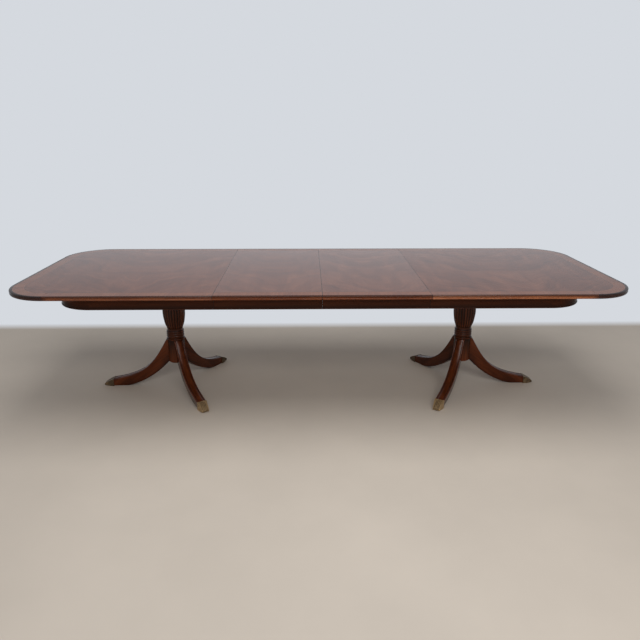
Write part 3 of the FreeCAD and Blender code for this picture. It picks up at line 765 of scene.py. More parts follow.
class Mouldings:
    """Mouldings swept along a path: reeded edges, bands and aprons."""

    CREASE = math.radians(32)

    def __init__(self) -> None:
        """Draw the sweeping tree."""
        tree = NodesTree("swept_moulding", {"Path": "NodeSocketObject", "Section": "NodeSocketObject",
                                            "Across": "NodeSocketBool", "Finish": "NodeSocketMaterial"})
        entry = tree.entry.outputs
        path, along = self.measured(tree, entry["Path"])
        section, around = self.measured(tree, entry["Section"])
        path = tree.add("GeometryNodeSetCurveNormal", {"mode": "Z_UP"}, {"Curve": path}).outputs[0]
        swept = tree.add("GeometryNodeCurveToMesh", None, {"Curve": path, "Profile Curve": section, "Fill Caps": True})
        length_first = tree.add("ShaderNodeCombineXYZ", None, {"X": along, "Y": around})
        section_first = tree.add("ShaderNodeCombineXYZ", None, {"X": around, "Y": along})
        chosen = tree.add("GeometryNodeSwitch", {"input_type": "VECTOR"},
                          {"Switch": entry["Across"], "False": length_first.outputs[0],
                           "True": section_first.outputs[0]})
        stored = tree.add("GeometryNodeStoreNamedAttribute", {"data_type": "FLOAT_VECTOR", "domain": "POINT"},
                          {"Geometry": swept.outputs[0], "Name": "grain", "Value": chosen.outputs[0]})
        tree.close(stored.outputs[0], self.CREASE)
        self.tree = tree

    @staticmethod
    def measured(tree: NodesTree, source: bpy.types.NodeSocket) -> tuple[bpy.types.NodeSocket, bpy.types.NodeSocket]:
        """A curve object's geometry, and the length along it at each point.

        Args:
            tree: the tree to draw in.
            source: the socket of the curve's object.

        Returns:
            The curve's socket and the length's socket.
        """
        info = tree.add("GeometryNodeObjectInfo", {"transform_space": "ORIGINAL"}, {"Object": source})
        length = tree.add("GeometryNodeSplineParameter").outputs["Length"]
        capture = tree.add("GeometryNodeCaptureAttribute", {"domain": "POINT"})
        capture.capture_items.new("FLOAT", "Length")
        tree.feed(capture.inputs["Geometry"], info.outputs["Geometry"])
        tree.feed(capture.inputs["Length"], length)
        return capture.outputs["Geometry"], capture.outputs["Length"]

    def sweep(self, name: str, path: Sequence[Point], section: Sequence[Point], material: bpy.types.Material,
              across: bool = False) -> bpy.types.Object:
        """Sweep a closed section along a level path.

        Args:
            name: the piece's name.
            path: points in plan; the moulding's outside is on their right.
            section: outward distance and height of the section's points.
            material: the piece's material.
            across: lay the grain across the moulding instead of along it.

        Returns:
            The swept piece.
        """
        way = stepped_curve(name + "_path", path)
        shape = stepped_curve(name + "_section", [(out, -level) for out, level in section], True)
        piece = linked(name, bpy.data.meshes.new(name))
        self.tree.made(piece, {"Path": way, "Section": shape, "Across": across, "Finish": material})
        for helper in (way, shape):
            bpy.data.objects.remove(helper)
        return piece


@dataclass(frozen=True)
class PostProfile:
    """Outline of a turned post, from the foot of its hub to the end of its tenon.

    Heights of the mouldings are shares of the shaft, from the hub to the plate.
    """

    hub_foot: float = 0.163
    hub_top: float = 0.308
    hub_radius: float = 0.051
    hub_chamfer: float = 0.003
    shaft_top: float = 0.683
    hub_rings: tuple[Point, ...] = ((0.034, 0.005), (0.018, -0.003), (0.0366, 0.0022), (0.0366, 0.0022),
                                    (0.0366, 0.0022))
    neck: Point = (0.0461, -0.002)
    neck_radius: float = 0.049125
    urn_share: float = 0.432
    urn_radius: float = 0.0675
    urn_outline: tuple[Point, ...] = ((0.0, 0.71), (0.1, 0.81), (0.2, 0.88), (0.32, 0.93), (0.45, 0.975),
                                      (0.6, 1.0), (0.75, 0.98), (0.89, 0.89), (1.0, 0.75))
    throat_radius: float = 0.042
    throat_share: float = 0.0215
    astragal: Point = (0.032, 0.007)
    capital_radius: float = 0.072
    capital_share: float = 0.043
    tenon: Point = (0.028, 0.036)
    ring_steps: int = 6
    curve_steps: int = 12

    def urn(self, base: float, height: float, steps: int = 5) -> list[Point]:
        """Radius and height along the urn, on a smooth curve through its outline.

        Args:
            base: height of the urn's foot.
            height: the urn's own height.
            steps: points for each stretch of the outline.

        Returns:
            The curve's points.
        """
        knots = [Vector((radius * self.urn_radius, base + share * height)) for share, radius in self.urn_outline]
        ends = [knots[0] * 2 - knots[1], *knots, knots[-1] * 2 - knots[-2]]
        points = []
        for spot in range(len(knots) - 1):
            before, start, end, after = ends[spot:spot + 4]
            for step in range(steps):
                t = step / steps  # along a Catmull-Rom curve
                place = (start * 2 + (end - before) * t + (before * 2 - start * 5 + end * 4 - after) * t ** 2
                         + (start * 3 - before - end * 3 + after) * t ** 3) / 2
                points.append(tuple(place))
        return points + [tuple(knots[-1])]

    def points(self) -> list[Place]:
        """Follow the outline from the foot up.

        Returns:
            Radius, height and reeding of every point.
        """
        shaft = self.shaft_top - self.hub_top
        plain = [(0.0, self.hub_foot), (self.hub_radius - self.hub_chamfer, self.hub_foot),
                 (self.hub_radius, self.hub_foot + self.hub_chamfer), (self.hub_radius, self.hub_top)]

        def ring(radius: float, share: float, proud: float) -> None:
            """Add a bead, or a hollow where it stands out by less than nothing."""
            low = plain[-1][1]
            plain.extend(bulge_points((radius, low), (radius, low + share * shaft), proud, self.ring_steps))

        for share, proud in self.hub_rings:
            ring(self.hub_radius, share, proud)
        plain.append((self.neck_radius, plain[-1][1]))
        ring(self.neck_radius, *self.neck)
        below = [(*point, 0.0) for point in plain]
        urn = [(*point, 1.0) for point in self.urn(plain[-1][1], self.urn_share * shaft)]
        top = urn[-1][1]
        plain = [(self.throat_radius, top), (self.throat_radius, top + self.throat_share * shaft)]
        ring(self.throat_radius, *self.astragal)
        start, foot = plain[-1][1], self.shaft_top - self.capital_share * shaft
        for step in range(1, self.curve_steps + 1):
            t = step / self.curve_steps  # along a Bezier curve that starts upright and ends level
            rise = 3 * t * (1 - t) ** 2 * (foot - start) / 2 + (3 * t ** 2 - 2 * t ** 3) * (foot - start)
            plain.append((self.throat_radius + t ** 3 * (self.capital_radius - self.throat_radius), start + rise))
        end = self.shaft_top + self.tenon[1]
        plain += [(self.capital_radius, self.shaft_top), (self.tenon[0], self.shaft_top), (self.tenon[0], end),
                  (0.0, end)]
        return below + urn + [(*point, 0.0) for point in plain]


class TurnedWork:
    """Turned pieces whose profile knows where it is reeded."""

    CREASE = math.radians(30)
    REED_STEPS = 8

    def __init__(self) -> None:
        """Draw the tree that spins a profile and works reeds on it."""
        tree = NodesTree("turned_reeds", {"Geometry": "NodeSocketGeometry", "Reeds": "NodeSocketInt",
                                          "Steps": "NodeSocketInt", "Depth": "NodeSocketFloat",
                                          "Axis": "NodeSocketVector", "Finish": "NodeSocketMaterial"})
        entry = tree.entry.outputs
        size = tree.add("GeometryNodeAttributeDomainSize", {"component": "MESH"}, {"Geometry": entry["Geometry"]})
        count = size.outputs["Point Count"]
        columns = tree.math("ADD", tree.math("MULTIPLY", entry["Reeds"], entry["Steps"]), 1.0)
        grid = tree.add("GeometryNodeMeshGrid", None, {"Size X": 1.0, "Size Y": 1.0, "Vertices X": columns,
                                                       "Vertices Y": count})
        position = tree.add("GeometryNodeInputPosition").outputs[0]
        place = tree.add("ShaderNodeSeparateXYZ", None, {"Vector": position}).outputs
        around = tree.math("ADD", place["X"], 0.5)
        row = tree.math("ROUND", tree.math("MULTIPLY", tree.math("ADD", place["Y"], 0.5),
                                           tree.math("SUBTRACT", count, 1.0)))
        point = tree.add("GeometryNodeSampleIndex", {"data_type": "FLOAT_VECTOR", "domain": "POINT"},
                         {"Geometry": entry["Geometry"], "Value": position, "Index": row}).outputs[0]
        point = tree.add("ShaderNodeSeparateXYZ", None, {"Vector": point}).outputs
        reeding = tree.add("GeometryNodeInputNamedAttribute", {"data_type": "FLOAT"}, {"Name": "reeded"}).outputs[0]
        reeding = tree.add("GeometryNodeSampleIndex", {"data_type": "FLOAT", "domain": "POINT"},
                           {"Geometry": entry["Geometry"], "Value": reeding, "Index": row}).outputs[0]
        part = tree.math("FRACT", tree.math("MULTIPLY", around, entry["Reeds"]))
        swell = tree.math("MULTIPLY", tree.math("MULTIPLY", part, 4.0), tree.math("SUBTRACT", 1.0, part))
        sunk = tree.math("MULTIPLY", tree.math("MULTIPLY", reeding, entry["Depth"]), tree.math("SUBTRACT", 1.0, swell))
        radius = tree.math("MULTIPLY", point["X"], tree.math("SUBTRACT", 1.0, sunk))
        angle = tree.math("MULTIPLY", around, 2 * math.pi)
        spun = tree.add("ShaderNodeCombineXYZ", None,
                        {"X": tree.math("MULTIPLY", radius, tree.math("COSINE", angle)),
                         "Y": tree.math("MULTIPLY", radius, tree.math("SINE", angle)), "Z": point["Z"]})
        placed = tree.add("ShaderNodeVectorMath", {"operation": "ADD"}, {0: spun.outputs[0], 1: entry["Axis"]})
        shaped = tree.add("GeometryNodeSetPosition", None,
                          {"Geometry": grid.outputs["Mesh"], "Position": placed.outputs[0]})
        welded = tree.add("GeometryNodeMergeByDistance", None, {"Geometry": shaped.outputs[0], "Distance": WELD})
        tree.close(welded.outputs[0], self.CREASE)
        self.tree = tree

    def turn(self, name: str, points: Sequence[Sequence[float]], axis_x: float, reeds: int, depth: float,
             material: bpy.types.Material) -> bpy.types.Object:
        """Spin a profile about an upright axis.

        Args:
            name: the piece's name.
            points: radius, height and reeding of each point, from the foot up.
            axis_x: X of the axis.
            reeds: number of reeds.
            depth: depth of the grooves, as a share of the radius.
            material: the piece's material.

        Returns:
            The turned piece.
        """
        mesh = bpy.data.meshes.new(name)
        mesh.from_pydata([(radius, 0.0, height) for radius, height, _ in points], [], [])
        reeding = mesh.attributes.new("reeded", "FLOAT", "POINT")
        for item, point in zip(reeding.data, points):
            item.value = point[2]
        return self.tree.made(linked(name, mesh), {"Reeds": reeds, "Steps": self.REED_STEPS, "Depth": depth,
                                                   "Axis": (axis_x, 0.0, 0.0), "Finish": material})


@dataclass
class RoundedHalf:
    """Plan of one half of the table: two sides, two round corners and an end."""

    side: Side
    seam: float = LEAF_LENGTH + SEAM_GAP
    end: float = TABLE_END
    half_width: float = HALF_WIDTH
    corner: float = 0.25
    steps: int = 40

    def stretches(self, inset: float, end_inset: Optional[float] = None,
                  corner: Optional[float] = None) -> dict[str, list[Point]]:
        """Paths along the front, round the end and along the back, with the outside on their right.

        Args:
            inset: distance in from the sides.
            end_inset: distance in from the end, where it differs.
            corner: corner radius of the path, where it doesn't follow the edge.

        Returns:
            The three paths by name.
        """
        end = self.end - (inset if end_inset is None else end_inset)
        y = self.half_width - inset
        radius = self.corner - inset if corner is None else corner
        front = [(end - radius, -y), (self.seam, -y)]
        bend = arc_points((end - radius, radius - y), radius, -math.pi / 2, 0.0, self.steps)
        bend += arc_points((end - radius, y - radius), radius, 0.0, math.pi / 2, self.steps)
        back = [(self.seam, y), (end - radius, y)]
        paths = {"front": front[::-1], "end": bend, "back": back[::-1]}
        if self.side is Side.RIGHT:
            return paths
        return {key: [(-x, level) for x, level in reversed(points)] for key, points in paths.items()}


@dataclass
class LeafPlan:
    """Plan of one leaf: two straight sides between its seams."""

    side: Side
    ends: Point = (SEAM_GAP, LEAF_LENGTH - SEAM_GAP)
    half_width: float = HALF_WIDTH

    def stretches(self, inset: float) -> dict[str, list[Point]]:
        """Paths along the front and along the back, with the outside on their right.

        Args:
            inset: distance in from the sides.

        Returns:
            The two paths by name.
        """
        low, high = sorted(self.side.sign * place for place in self.ends)
        y = self.half_width - inset
        return {"front": [(low, -y), (high, -y)], "back": [(high, y), (low, y)]}


@dataclass
class Tops:
    """The banded and reeded top of both halves and both leaves."""

    finishes: Finishes
    mouldings: Mouldings
    height: float = TOP_HEIGHT
    thickness: float = TOP_THICKNESS
    veneer: float = 0.001
    edge_width: float = 0.016
    band_width: float = 0.062
    reeds: int = 2
    reed_depth: float = 0.0035
    reed_steps: int = 10
    # Painted shade on the upper reed of the edge, and the share of that reed left unshaded.
    dull_share: float = 0.94
    clean_share: float = 0.4
    groove_share: float = 0.55
    groove_reach: float = 0.002
    # Painted shade that deepens along the last stretch before the round end: its reach and its share.
    fade: float = 0.035
    fade_share: float = 0.9
    line_width: float = 0.003
    line_dark: float = 0.8

    def reeded_section(self) -> list[Point]:
        """Outline of the solid edge, with its reeds one above the other.

        Returns:
            The outline's points.
        """
        low = self.height - self.thickness
        step = self.thickness / self.reeds
        valley = self.edge_width - self.reed_depth
        points = [(0.0, low), (valley, low)]
        for reed in range(self.reeds):
            start = (valley, low + reed * step)
            points += bulge_points(start, (valley, start[1] + step), self.reed_depth, self.reed_steps)
        return points + [(0.0, self.height)]

    def band_section(self) -> list[Point]:
        """Outline of the crossband, inwards from the solid edge.

        Returns:
            The outline's points.
        """
        low = self.height - self.veneer
        line = self.line_width - self.band_width
        return [(-self.band_width, low), (0.0, low), (0.0, self.height), (line + self.veneer / 2, self.height),
                (line, self.height), (-self.band_width, self.height)]

    def crossband(self, name: str, path: list[Point], body: str, node: str) -> None:
        """Sweep one stretch of crossband, mark the dark line along its inside and settle it.

        The grain's first axis runs round the section: along its foot, up its outer side and back along its top.

        Args:
            name: the piece's name.
            path: its outer line.
            body: the body that it rides on.
            node: the node that it stands for.
        """
        band = self.mouldings.sweep(name, path, self.band_section(), self.finishes.of(CROSSBAND), True)
        start = self.band_width + self.veneer + self.band_width - self.line_width - self.veneer / 4
        band.data.attributes.new("hollow", "FLOAT", "POINT")
        attributes = band.data.attributes
        for item, place in zip(attributes["hollow"].data, attributes["grain"].data):
            item.value = self.line_dark if place.vector[0] > start else 0.0
        settle(band, body, "band_veneer", node)

    def faded(self, path: list[Point], corner: float) -> list[Point]:
        """Give a straight stretch one more point, where painted shade starts to deepen towards its corner.

        Args:
            path: the two ends of the stretch.
            corner: distance of the corner's start from the middle of the table.

        Returns:
            The path with three points.
        """
        start, stop = path
        return [start, (math.copysign(corner - self.fade, start[0]), start[1]), stop]

    def mark_valleys(self, piece: bpy.types.Object, corner: Optional[float] = None) -> None:
        """Mark the grooves under the reeds, the painted shade on the upper reed and the painted shade that deepens
        towards the shaded round end.

        Args:
            piece: the swept edge.
            corner: distance of the corner's start from the middle of the table, where the piece runs into one.
        """
        step = self.thickness / self.reeds
        valleys = [self.height - step * reed for reed in range(1, self.reeds + 1)]

        def hollow(place: Vector) -> float:
            """How dark a point is: in a groove, or under painted shade.

            Args:
                place: the point.

            Returns:
                The share of the dark colour there.
            """
            # Painted shade over the upper reed, from a little above the valley up.
            upper = self.dull_share if place.z > valleys[0] + self.clean_share * step else 0.0
            # Painted shade deepening towards the corner.
            bend = self.fade_share * near(abs(place.x), [corner], self.fade) if corner else 0.0
            return max(self.groove_share * near(place.z, valleys, self.groove_reach), upper, bend)

        mark(piece, "hollow", "FLOAT", hollow)

    def border(self, names: str, body: str, nodes: str, stretch: str, path: list[Point], finish: Wood,
               corner: Optional[float] = None) -> None:
        """Make the edge and the crossband along one stretch of a top.

        Args:
            names: start of the pieces' names.
            body: the body that they ride on.
            nodes: start of the names of the nodes that they stand for.
            stretch: the stretch's name.
            path: the line where the edge meets the crossband.
            finish: the edge's finish.
            corner: distance of the corner's start from the middle of the table, where the edge runs into one.
        """
        line = self.faded(path, corner) if corner else path
        edge = self.mouldings.sweep(f"{names}_edge_{stretch}", line, self.reeded_section(), self.finishes.of(finish))
        self.mark_valleys(edge, corner)
        settle(edge, body, "edge_mahogany", nodes + "_edge")
        self.crossband(f"{names}_crossband_{stretch}", path, body, nodes + "_band")

    def dress_half(self, side: Side) -> None:
        """Make the borders of one half, with painted shade on its round end and painted light on the right half's
        straight sides, and dress its core.

        Args:
            side: the half's side.
        """
        plan = RoundedHalf(side)
        # The right half's straight sides take the lit copy of the edge finish: painted light.
        straight = (EDGE if side is Side.LEFT else EDGE_RIGHT_LIT, plan.end - plan.corner)
        for stretch, path in plan.stretches(self.edge_width).items():
            # The round end takes the shaded copy: painted shade.
            finish, corner = (EDGE_END_SHADED, None) if stretch == "end" else straight
            self.border(side.word, side.word + "_half", side.word + "_top", stretch, path, finish, corner)
        self.finishes.dress(side.word + "_top_core", CORE)

    def dress_leaf(self, side: Side) -> None:
        """Make the borders of one leaf and dress its core.

        Args:
            side: the leaf's side.
        """
        leaf = "leaf_" + side.word
        for stretch, path in LeafPlan(side).stretches(self.edge_width).items():
            self.border(leaf, leaf, leaf, stretch, path, EDGE_LEAF)
        self.finishes.dress(leaf + "_core", CORE)

    def build(self) -> None:
        """Make and dress all the tops."""
        for node, finish in FLAME.items():
            self.finishes.dress(node, finish)
        for side in Side:
            self.dress_half(side)
            self.dress_leaf(side)


@dataclass
class Aprons:
    """The apron rails under the halves and leaves, with a bead along their foot."""

    finishes: Finishes
    mouldings: Mouldings
    top: float = TOP_HEIGHT - TOP_THICKNESS
    height: float = 0.063
    thickness: float = 0.02
    bead_height: float = 0.007
    bead_proud: float = 0.0025
    bead_steps: int = 8
    # Painted shade over the bead along the rail's foot.
    bead_dull: float = 0.7
    quirk_reach: float = 0.002
    side_inset: float = 0.05
    end_inset: float = 0.262
    corner: float = 0.2
    leaf_gap: float = 0.0004

    def section(self, lift: float) -> list[Point]:
        """Outline of a rail.

        Args:
            lift: how far its top stands above the halves' underside.

        Returns:
            The outline's points.
        """
        foot = self.top - self.height
        bead = bulge_points((0.0, foot), (0.0, foot + self.bead_height), self.bead_proud, self.bead_steps)
        return [(-self.thickness, foot), (0.0, foot), *bead, (0.0, self.top + lift),
                (-self.thickness, self.top + lift)]

    def rail(self, name: str, path: list[Point], lift: float, body: str, *nodes: str) -> None:
        """Sweep one rail, darken the bead's quirk and its foot, paint shade over the bead and settle it.

        Args:
            name: the piece's name.
            path: the rail's outer line.
            lift: how far its top stands above the halves' underside.
            body: the body that it rides on.
            nodes: the nodes that it stands for.
        """
        piece = self.mouldings.sweep(name, path, self.section(lift), self.finishes.of(APRON))
        foot = self.top - self.height
        quirk = foot + self.bead_height
        # Darker at the quirk and the foot; painted shade over the whole bead below the quirk.
        mark(piece, "hollow", "FLOAT", lambda place: max(near(place.z, (quirk, foot), self.quirk_reach),
                                                         self.bead_dull if place.z < quirk else 0.0))
        settle(piece, body, "apron_mahogany", *nodes)

    def build(self) -> None:
        """Make all the rails."""
        for side in Side:
            half = RoundedHalf(side).stretches(self.side_inset, self.end_inset, self.corner)
            for stretch, path in half.items():
                name = f"{side.word}_apron_{stretch}"
                self.rail(name, path, 0.0, side.word + "_half", name + "_rail")
            leaf = "leaf_" + side.word
            for stretch, path in LeafPlan(side).stretches(self.side_inset).items():
                self.rail(f"{leaf}_apron_{stretch}", path, self.leaf_gap, leaf, leaf + "_apron_rails")


@dataclass(frozen=True)
class SabreLeg:
    """One of a post's legs: its turn in degrees from the middle of the table, the painted shade on its toe cap and the
    painted shade on its wood.
    """

    name: str
    turn: float
    tarnish: float
    shade: float


# The end and back caps and the back legs get painted shade.
SABRE_LEGS = (SabreLeg("end", 180.0, 0.72, 0.0), SabreLeg("front", -60.0, 0.0, 0.0), SabreLeg("back", 60.0, 0.85, 0.4))


@dataclass
class Pedestal:
    """A turned post with a reeded urn, its sabre legs and their brass toe caps."""

    finishes: Finishes
    turning: TurnedWork
    side: Side
    profile: PostProfile = PostProfile()
    ring_lines: tuple[float, ...] = (0.308, 0.3208, 0.3275, 0.3412, 0.355, 0.3687, 0.386, 0.548, 0.556, 0.568)
    urn_base: float = 0.386
    urn_top: float = 0.548
    urn_reeds: int = 24
    reed_depth: float = 0.05
    reed_groove: float = 0.4
    crest_valley: float = 0.0185
    crest_half: float = 0.022
    crest_groove: float = 0.0035
    cap_half: float = 0.021
    cap_ribs: int = 5
    cap_groove: float = 0.0025
    ring_shade: float = 0.5
    ring_groove: float = 0.0022
    fibre_run: Point = (0.8, -0.6)
    crease: float = math.radians(28)

    @property
    def axis_x(self) -> float:
        """X of the post's axis."""
        return self.side.sign * POST_X

    def inward(self, place: Vector) -> float:
        """Distance of a point from the post's axis, towards the middle of the table."""
        return (place.x - self.axis_x) * -self.side.sign

    def local(self, place: Vector, leg: SabreLeg) -> Place:
        """A point as a leg sees it.

        Args:
            place: the point.
            leg: the leg.

        Returns:
            Distance out along the leg, distance to its side, and height.
        """
        turn = math.radians(leg.turn)
        x = self.inward(place)
        return (x * math.cos(turn) + place.y * math.sin(turn), place.y * math.cos(turn) - x * math.sin(turn), place.z)

    def post_hollow(self, place: Vector) -> float:
        """How dark a point of the post is: in a groove, or under the painted shade on the stack of rings.

        Args:
            place: the point.

        Returns:
            The share of the dark colour there.
        """
        rings = near(place.z, self.ring_lines, self.ring_groove)
        # Painted shade over the stack of rings below the urn.
        if self.ring_lines[0] < place.z <= self.urn_base:
            return max(rings, self.ring_shade)
        if not self.urn_base < place.z < self.urn_top:
            return rings
        turn = math.atan2(place.y, self.inward(place))
        across = (turn / (2 * math.pi) * self.urn_reeds) % 1.0
        return max(rings, near(across, (0.0, 1.0), self.reed_groove))

    def leg_hollow(self, place: Vector, leg: SabreLeg) -> float:
        """How dark a point of a leg is: in the quirks between its crest and the beads, or under the painted shade of a
        shaded leg.

        Args:
            place: the point.
            leg: the leg.

        Returns:
            The share of the dark colour there.
        """
        _, aside, _ = self.local(place, leg)
        # A shaded leg takes painted shade all over.
        if abs(aside) > self.crest_half:
            return leg.shade
        return max(leg.shade, near(aside, (-self.crest_valley, self.crest_valley), self.crest_groove))

    def leg_grain(self, place: Vector, leg: SabreLeg) -> Place:
        """Grain coordinates of a leg, its fibres running from hub to toe and each leg cut from its own stretch.

        Args:
            place: the point.
            leg: the leg.

        Returns:
            The coordinates.
        """
        out, aside, up = self.local(place, leg)
        run, fall = self.fibre_run
        return (out * run + up * fall + leg.turn, up * run - out * fall, aside)

    def cap_hollow(self, place: Vector) -> float:
        """How dull a point of a toe cap is: tarnished in a groove of its ribs, or under the painted shade of a cap that
        stands in shade.

        Args:
            place: the point.

        Returns:
            The share of the tarnish and the painted shade there.
        """
        leg = max(SABRE_LEGS, key=lambda one: self.local(place, one)[0])
        pitch = 2 * self.cap_half / self.cap_ribs
        lines = [-self.cap_half + pitch * rib for rib in range(1, self.cap_ribs)]
        # The larger of the rib grooves' tarnish and the cap's painted shade.
        return max(near(self.local(place, leg)[1], lines, self.cap_groove), leg.tarnish)

    def build(self) -> None:
        """Make and dress the post, the legs and the toe caps."""
        word = self.side.word
        body = word + "_half"
        post = self.turning.turn(word + "_turned_post", self.profile.points(), self.axis_x, self.urn_reeds,
                                 self.reed_depth, self.finishes.of(POST))
        mark(post, "grain", "FLOAT_VECTOR", lambda place: (place.z, place.x, place.y))
        mark(post, "hollow", "FLOAT", self.post_hollow)
        settle(post, body, "leg_mahogany", word + "_post")
        for leg in SABRE_LEGS:
            node = f"{word}_leg_{leg.name}"
            piece = merged_copy(node, f"{word}_sabre_leg_{leg.name}", self.finishes.of(LEG), self.crease)
            mark(piece, "grain", "FLOAT_VECTOR", lambda place, leg=leg: self.leg_grain(place, leg))
            mark(piece, "hollow", "FLOAT", lambda place, leg=leg: self.leg_hollow(place, leg))
            settle(piece, body, "leg_mahogany", node)
        caps = merged_copy(word + "_toe_caps", word + "_ribbed_caps", self.finishes.of(TOE_BRASS), self.crease)
        mark(caps, "hollow", "FLOAT", self.cap_hollow)
        settle(caps, body, "aged_brass", word + "_toe_caps")
        self.finishes.dress(word + "_post_plate", SECONDARY)
        self.finishes.dress(word + "_leg_strap", STEEL)
        self.finishes.dress(word + "_plate_bolts", STEEL)


class Screws:
    """Slotted screw heads, set on points that know which way they face."""

    CREASE = math.radians(40)
    HALF_TURN = math.pi
    SLOT_SHARE = 0.22
    FLOOR_SHARE = 1 / 3
    CHEEK_STEPS = 7

    def __init__(self) -> None:
        """Draw the tree that sets the heads."""
        tree = NodesTree("slotted_screws", {"Geometry": "NodeSocketGeometry", "Head": "NodeSocketObject",
                                            "Seed": "NodeSocketInt", "Finish": "NodeSocketMaterial"})
        entry = tree.entry.outputs
        head = tree.add("GeometryNodeObjectInfo", {"transform_space": "ORIGINAL"},
                        {"Object": entry["Head"], "As Instance": True})
        facing = tree.add("GeometryNodeInputNamedAttribute", {"data_type": "FLOAT_VECTOR"}, {"Name": "facing"})
        upright = tree.add("FunctionNodeAlignRotationToVector", {"axis": "Z"}, {"Vector": facing.outputs[0]})
        turn = tree.add("FunctionNodeRandomValue", {"data_type": "FLOAT"}, {"Seed": entry["Seed"]})
        turn.inputs[3].default_value = self.HALF_TURN  # at most; a slot looks the same after half a turn
        spin = tree.add("ShaderNodeCombineXYZ", None, {"Z": turn.outputs[1]})
        spin = tree.add("FunctionNodeEulerToRotation", None, {0: spin.outputs[0]})
        driven = tree.add("FunctionNodeRotateRotation", {"rotation_space": "LOCAL"},
                          {"Rotation": upright.outputs[0], "Rotate By": spin.outputs[0]})
        heads = tree.add("GeometryNodeInstanceOnPoints", None,
                         {"Points": entry["Geometry"], "Instance": head.outputs["Geometry"],
                          "Rotation": driven.outputs[0]})
        tree.close(heads.outputs[0], self.CREASE)
        self.tree = tree

    def head(self, radius: float, proud: float) -> bpy.types.Object:
        """One round head: two cheeks with a slot between them, and the slot's floor.

        Args:
            radius: the head's radius.
            proud: how far the cheeks stand up.

        Returns:
            The head's object.
        """
        slot = radius * self.SLOT_SHARE / 2
        reach = math.acos(slot / radius)
        cheek = arc_points((0.0, 0.0), radius, -reach, reach, self.CHEEK_STEPS)
        ends = [(slot, cheek[0][1]), (slot, cheek[-1][1]), (-slot, cheek[-1][1]), (-slot, cheek[0][1])]
        sheet = bmesh.new()
        for outline, top in ((cheek, proud), ([(-x, -y) for x, y in cheek], proud),
                             (ends, proud * self.FLOOR_SHARE)):
            floor = [sheet.verts.new((x, y, 0.0)) for x, y in outline]
            roof = [sheet.verts.new((x, y, top)) for x, y in outline]
            sheet.faces.new(roof)
            sheet.faces.new(floor[::-1])
            for spot in range(len(outline)):
                after = (spot + 1) % len(outline)
                sheet.faces.new((floor[spot], floor[after], roof[after], roof[spot]))
        mesh = bpy.data.meshes.new("screw_head")
        sheet.to_mesh(mesh)
        sheet.free()
        return linked("screw_head", mesh)

    def drive(self, name: str, places: Sequence[ScrewPlace], radius: float, proud: float,
              material: bpy.types.Material) -> bpy.types.Object:
        """Set one row of screws.

        Args:
            name: the piece's name.
            places: place of each head and the way it faces.
            radius: the heads' radius.
            proud: how far they stand up.
            material: the piece's material.

        Returns:
            The screws as one piece.
        """
        mesh = bpy.data.meshes.new(name)
        mesh.from_pydata([place for place, _ in places], [], [])
        facing = mesh.attributes.new("facing", "FLOAT_VECTOR", "POINT")
        for item, (_, way) in zip(facing.data, places):
            item.vector = way
        piece = linked(name, mesh)
        head = self.head(radius, proud)
        self.tree.made(piece, {"Head": head, "Seed": len(name), "Finish": material})
        bpy.data.objects.remove(head)
        return piece


